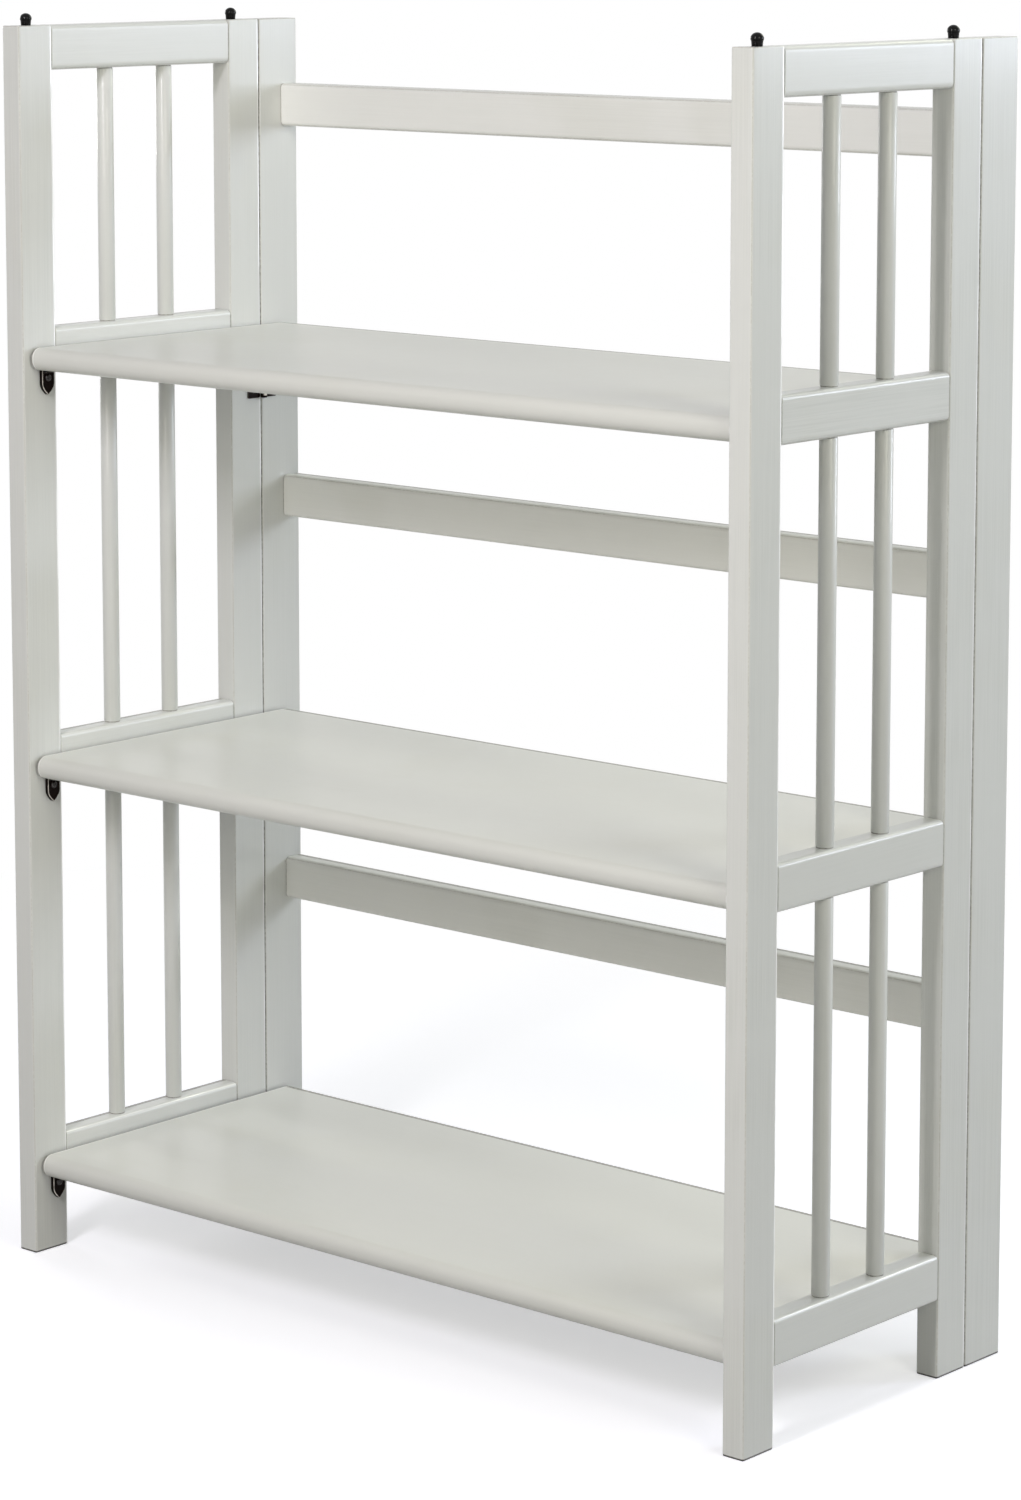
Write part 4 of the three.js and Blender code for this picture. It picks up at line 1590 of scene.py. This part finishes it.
class BOOKCASE_OT_build_hinges(Operator):
    """Builds the hinges between the side panels and the back frame"""

    bl_idname = "bookcase.build_hinges"
    bl_label = "Build Hinges"

    def execute(self, context):
        for side, sign in SIDES:
            for level in HINGE_LEVELS:
                centre = hinge_axis(side, level)
                name = f"{side}_{level}_hinge"
                for first_knuckle, (leaf, away) in enumerate(LEAVES):
                    add_hinge_leaf(f"{name}_{leaf}", centre, sign, away, first_knuckle)
                add_hinge_pin(f"{name}_pin", centre)
        return {"FINISHED"}


SCREW_REACH = 14 * MM


class BOOKCASE_OT_build_screws(Operator):
    """Builds the screws of the hinges and the shelf rests"""

    bl_idname = "bookcase.build_screws"
    bl_label = "Build Screws"

    def execute(self, context):
        tree = screw_tree()
        self.add_rest_screws(context.scene.bookcase_hardware, tree)
        self.add_hinge_screws(context.scene.bookcase_hardware, tree)
        return {"FINISHED"}

    def add_rest_screws(self, settings, tree):
        """A round head in each shelf rest."""
        sunk = 0.3 * MM
        for seed, (side, sign) in enumerate(SIDES):
            places = []
            for level in LEVELS:
                node = f"{side}_{level}_shelf_rest"
                low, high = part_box(node)
                x = wood_face(node, sign) - sign * (REST_THICKNESS - sunk)
                places.append((x, (low.y + high.y) / 2, high.z - settings.rest_screw_drop))
            radius = settings.rest_screw / 2
            values = {"Radius": radius, "Dome": 1.5 * MM, "Edge": 0.5 * MM, "Seed": seed}
            self.drive(f"{side}_shelf_rest_screws", places, -sign, tree, values, BODY_OF[node])

    def add_hinge_screws(self, settings, tree):
        """Two flat heads in each hinge leaf."""
        sunk = 0.25 * MM
        first_seed = 4
        for leaf, away in LEAVES:
            for seed, (side, sign) in enumerate(SIDES, first_seed):
                places = []
                for level in HINGE_LEVELS:
                    centre = hinge_axis(side, level)
                    node = f"{side}_{level}_hinge_{leaf}"
                    low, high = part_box(node)
                    x = wood_face(node, sign) - sign * (LEAF_THICKNESS - sunk)
                    start = centre.y + away * (BARREL_RADIUS + HINGE_GAP)
                    end = high.y if away > 0 else low.y
                    for lift in (-0.5, 0.5):
                        z = centre.z + lift * settings.hinge_screw_spacing
                        places.append((x, (start + end) / 2, z))
                radius = settings.hinge_screw / 2
                values = {"Radius": radius, "Dome": 0.12 * MM, "Edge": 0.4 * MM, "Seed": seed}
                self.drive(f"{side}_hinge_{leaf}_screws", places, -sign, tree, values, BODY_OF[node])

    def drive(self, name, places, towards, tree, values, body):
        """Puts screws with heads that face along X at some places of one body."""
        radius = values["Radius"]
        sizes = {"Shank": 0.5 * radius, "Recess": 0.32 * radius, "Reach": SCREW_REACH}
        values = {**values, **sizes, "Material": material("black_screw")}
        row = grow(name, places, tree, values, facing=[towards, 0, 0])
        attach(row, body)


class BOOKCASE_OT_finish_pivots(Operator):
    """Gives the shelf pivots their steel"""

    bl_idname = "bookcase.finish_pivots"
    bl_label = "Finish Pivots"

    def execute(self, context):
        for name, node in frame["nodes"].items():
            if name.endswith("_shelf_pivot"):
                node.data.materials.clear()
                node.data.materials.append(material("bright_steel"))
        return {"FINISHED"}


# Stage


def white_to_the_eye(graph, lit, seen):
    """A shader that shows one finish to the camera, gloss and glass, and another to soft light."""
    path = graph.node("ShaderNodeLightPath")
    eye = path["Is Camera Ray"] + path["Is Glossy Ray"] + path["Is Transmission Ray"]
    eye = graph.math("MINIMUM", eye, 1.0)
    return graph.node("ShaderNodeMixShader", inputs={0: eye, 1: lit, 2: seen})[0]


def floor_finish(settings):
    """A pale floor that takes the object's shadow and fades to plain white away from it."""
    fade_start, fade_end = 0.55, 1.5
    lift = 0.5
    finish = Finish("studio_floor_finish")
    split = finish.node("ShaderNodeSeparateXYZ", inputs={0: finish.place})
    distance = finish.math("SQRT", split["X"] * split["X"] + split["Y"] * split["Y"])
    far = finish.ease(distance, fade_start, fade_end)
    matt = finish.node("ShaderNodeBsdfDiffuse", inputs={"Color": settings.floor})[0]
    glow = finish.node("ShaderNodeEmission", inputs={"Color": WHITE, "Strength": lift})[0]
    plain = finish.node("ShaderNodeEmission", inputs={"Color": WHITE, "Strength": 1.0})[0]
    near = finish.node("ShaderNodeAddShader", inputs={0: matt, 1: glow})[0]
    seen = finish.node("ShaderNodeMixShader", inputs={0: far, 1: near, 2: plain})[0]
    lit = finish.node("ShaderNodeBsdfDiffuse", inputs={"Color": settings.floor_bounce})[0]
    shader = white_to_the_eye(finish, lit, seen)
    finish.node("ShaderNodeOutputMaterial", inputs={"Surface": shader})
    return finish.material


def add_lamp(name, place, target, size, power, colour):
    """A soft lamp of some width and height that faces a point."""
    lamp = bpy.data.lights.new(name, "AREA")
    lamp.shape = "RECTANGLE"
    lamp.size, lamp.size_y = size
    lamp.energy = power
    lamp.color = colour
    holder = show(name, lamp)
    holder.location = place
    aim = Vector(target) - Vector(place)
    holder.rotation_euler = aim.to_track_quat("-Z", "Y").to_euler()
    holder.visible_camera = False


class BOOKCASE_OT_build_stage(Operator):
    """Builds the camera, the lamps, the white surroundings and the floor"""

    bl_idname = "bookcase.build_stage"
    bl_label = "Build Stage"

    def execute(self, context):
        settings = context.scene.bookcase_stage
        context.scene.view_settings.view_transform = "Standard"
        self.add_camera(context, settings)
        self.add_surroundings(context, settings)
        self.add_floor(settings)
        aim = (0.0, 0.0, 0.5)
        for name, place, size, power, colour in LAMPS:
            add_lamp(name, place, aim, size, power * settings.lamp_level, colour)
        return {"FINISHED"}

    def add_camera(self, context, settings):
        camera = bpy.data.cameras.new("studio_camera")
        camera.sensor_width = 36.0
        camera.lens = settings.lens
        camera.shift_y = settings.rise
        camera.clip_end = 100.0
        holder = show("studio_camera", camera)
        holder.location = settings.camera_place
        holder.rotation_euler = (math.pi / 2 - settings.tilt, 0.0, settings.heading)
        context.scene.camera = holder

    def add_surroundings(self, context, settings):
        world = bpy.data.worlds.new("studio_surroundings")
        world.use_nodes = True
        context.scene.world = world
        graph = Graph(world.node_tree)
        soft = {"Color": (0.98, 0.99, 1.0, 1.0), "Strength": settings.room_light}
        lit = graph.node("ShaderNodeBackground", inputs=soft)[0]
        seen = graph.node("ShaderNodeBackground", inputs={"Color": WHITE, "Strength": 1.0})[0]
        shader = white_to_the_eye(graph, lit, seen)
        graph.node("ShaderNodeOutputWorld", inputs={"Surface": shader})

    def add_floor(self, settings):
        radius, sides = 9.0, 96
        mesh = bpy.data.meshes.new("studio_floor")
        mesh.from_pydata(circle(Vector(), Z, radius, sides), [], [tuple(range(sides))])
        mesh.materials.append(floor_finish(settings))
        floor = show("studio_floor", mesh)


class BOOKCASE_PT_panel(Panel):
    """The sidebar panel with the settings and a button for each group of pieces"""

    bl_idname = "BOOKCASE_PT_panel"
    bl_label = "Folding Bookcase"
    bl_space_type = "VIEW_3D"
    bl_region_type = "UI"
    bl_category = "Bookcase"

    def draw(self, context):
        layout = self.layout
        for group in SETTINGS:
            settings = getattr(context.scene, group)
            column = layout.column(align=True)
            for name in settings.__annotations__:
                column.prop(settings, name)
        column = layout.column(align=True)
        for operator in OPERATORS:
            column.operator(operator.bl_idname)


SETTINGS = {
    "bookcase_wood": BookcaseWoodSettings,
    "bookcase_paint": BookcasePaintSettings,
    "bookcase_hardware": BookcaseHardwareSettings,
    "bookcase_stage": BookcaseStageSettings,
}
OPERATORS = (
    BOOKCASE_OT_build_stage,
    BOOKCASE_OT_build_posts,
    BOOKCASE_OT_build_stiles,
    BOOKCASE_OT_build_side_rails,
    BOOKCASE_OT_build_back_rails,
    BOOKCASE_OT_build_spindles,
    BOOKCASE_OT_build_shelves,
    BOOKCASE_OT_build_stacking_pins,
    BOOKCASE_OT_build_shelf_rests,
    BOOKCASE_OT_build_hinges,
    BOOKCASE_OT_build_screws,
    BOOKCASE_OT_finish_pivots,
)


def register():
    for group in (*SETTINGS.values(), *OPERATORS, BOOKCASE_PT_panel):
        bpy.utils.register_class(group)
    for name, group in SETTINGS.items():
        setattr(bpy.types.Scene, name, PointerProperty(type=group))


def unregister():
    for name in SETTINGS:
        delattr(bpy.types.Scene, name)
    for group in (BOOKCASE_PT_panel, *OPERATORS, *SETTINGS.values()):
        bpy.utils.unregister_class(group)


def main():
    register()
    for operator in OPERATORS:
        getattr(bpy.ops.bookcase, operator.bl_idname.split(".")[1])()


if __name__ == "__main__":
    main()
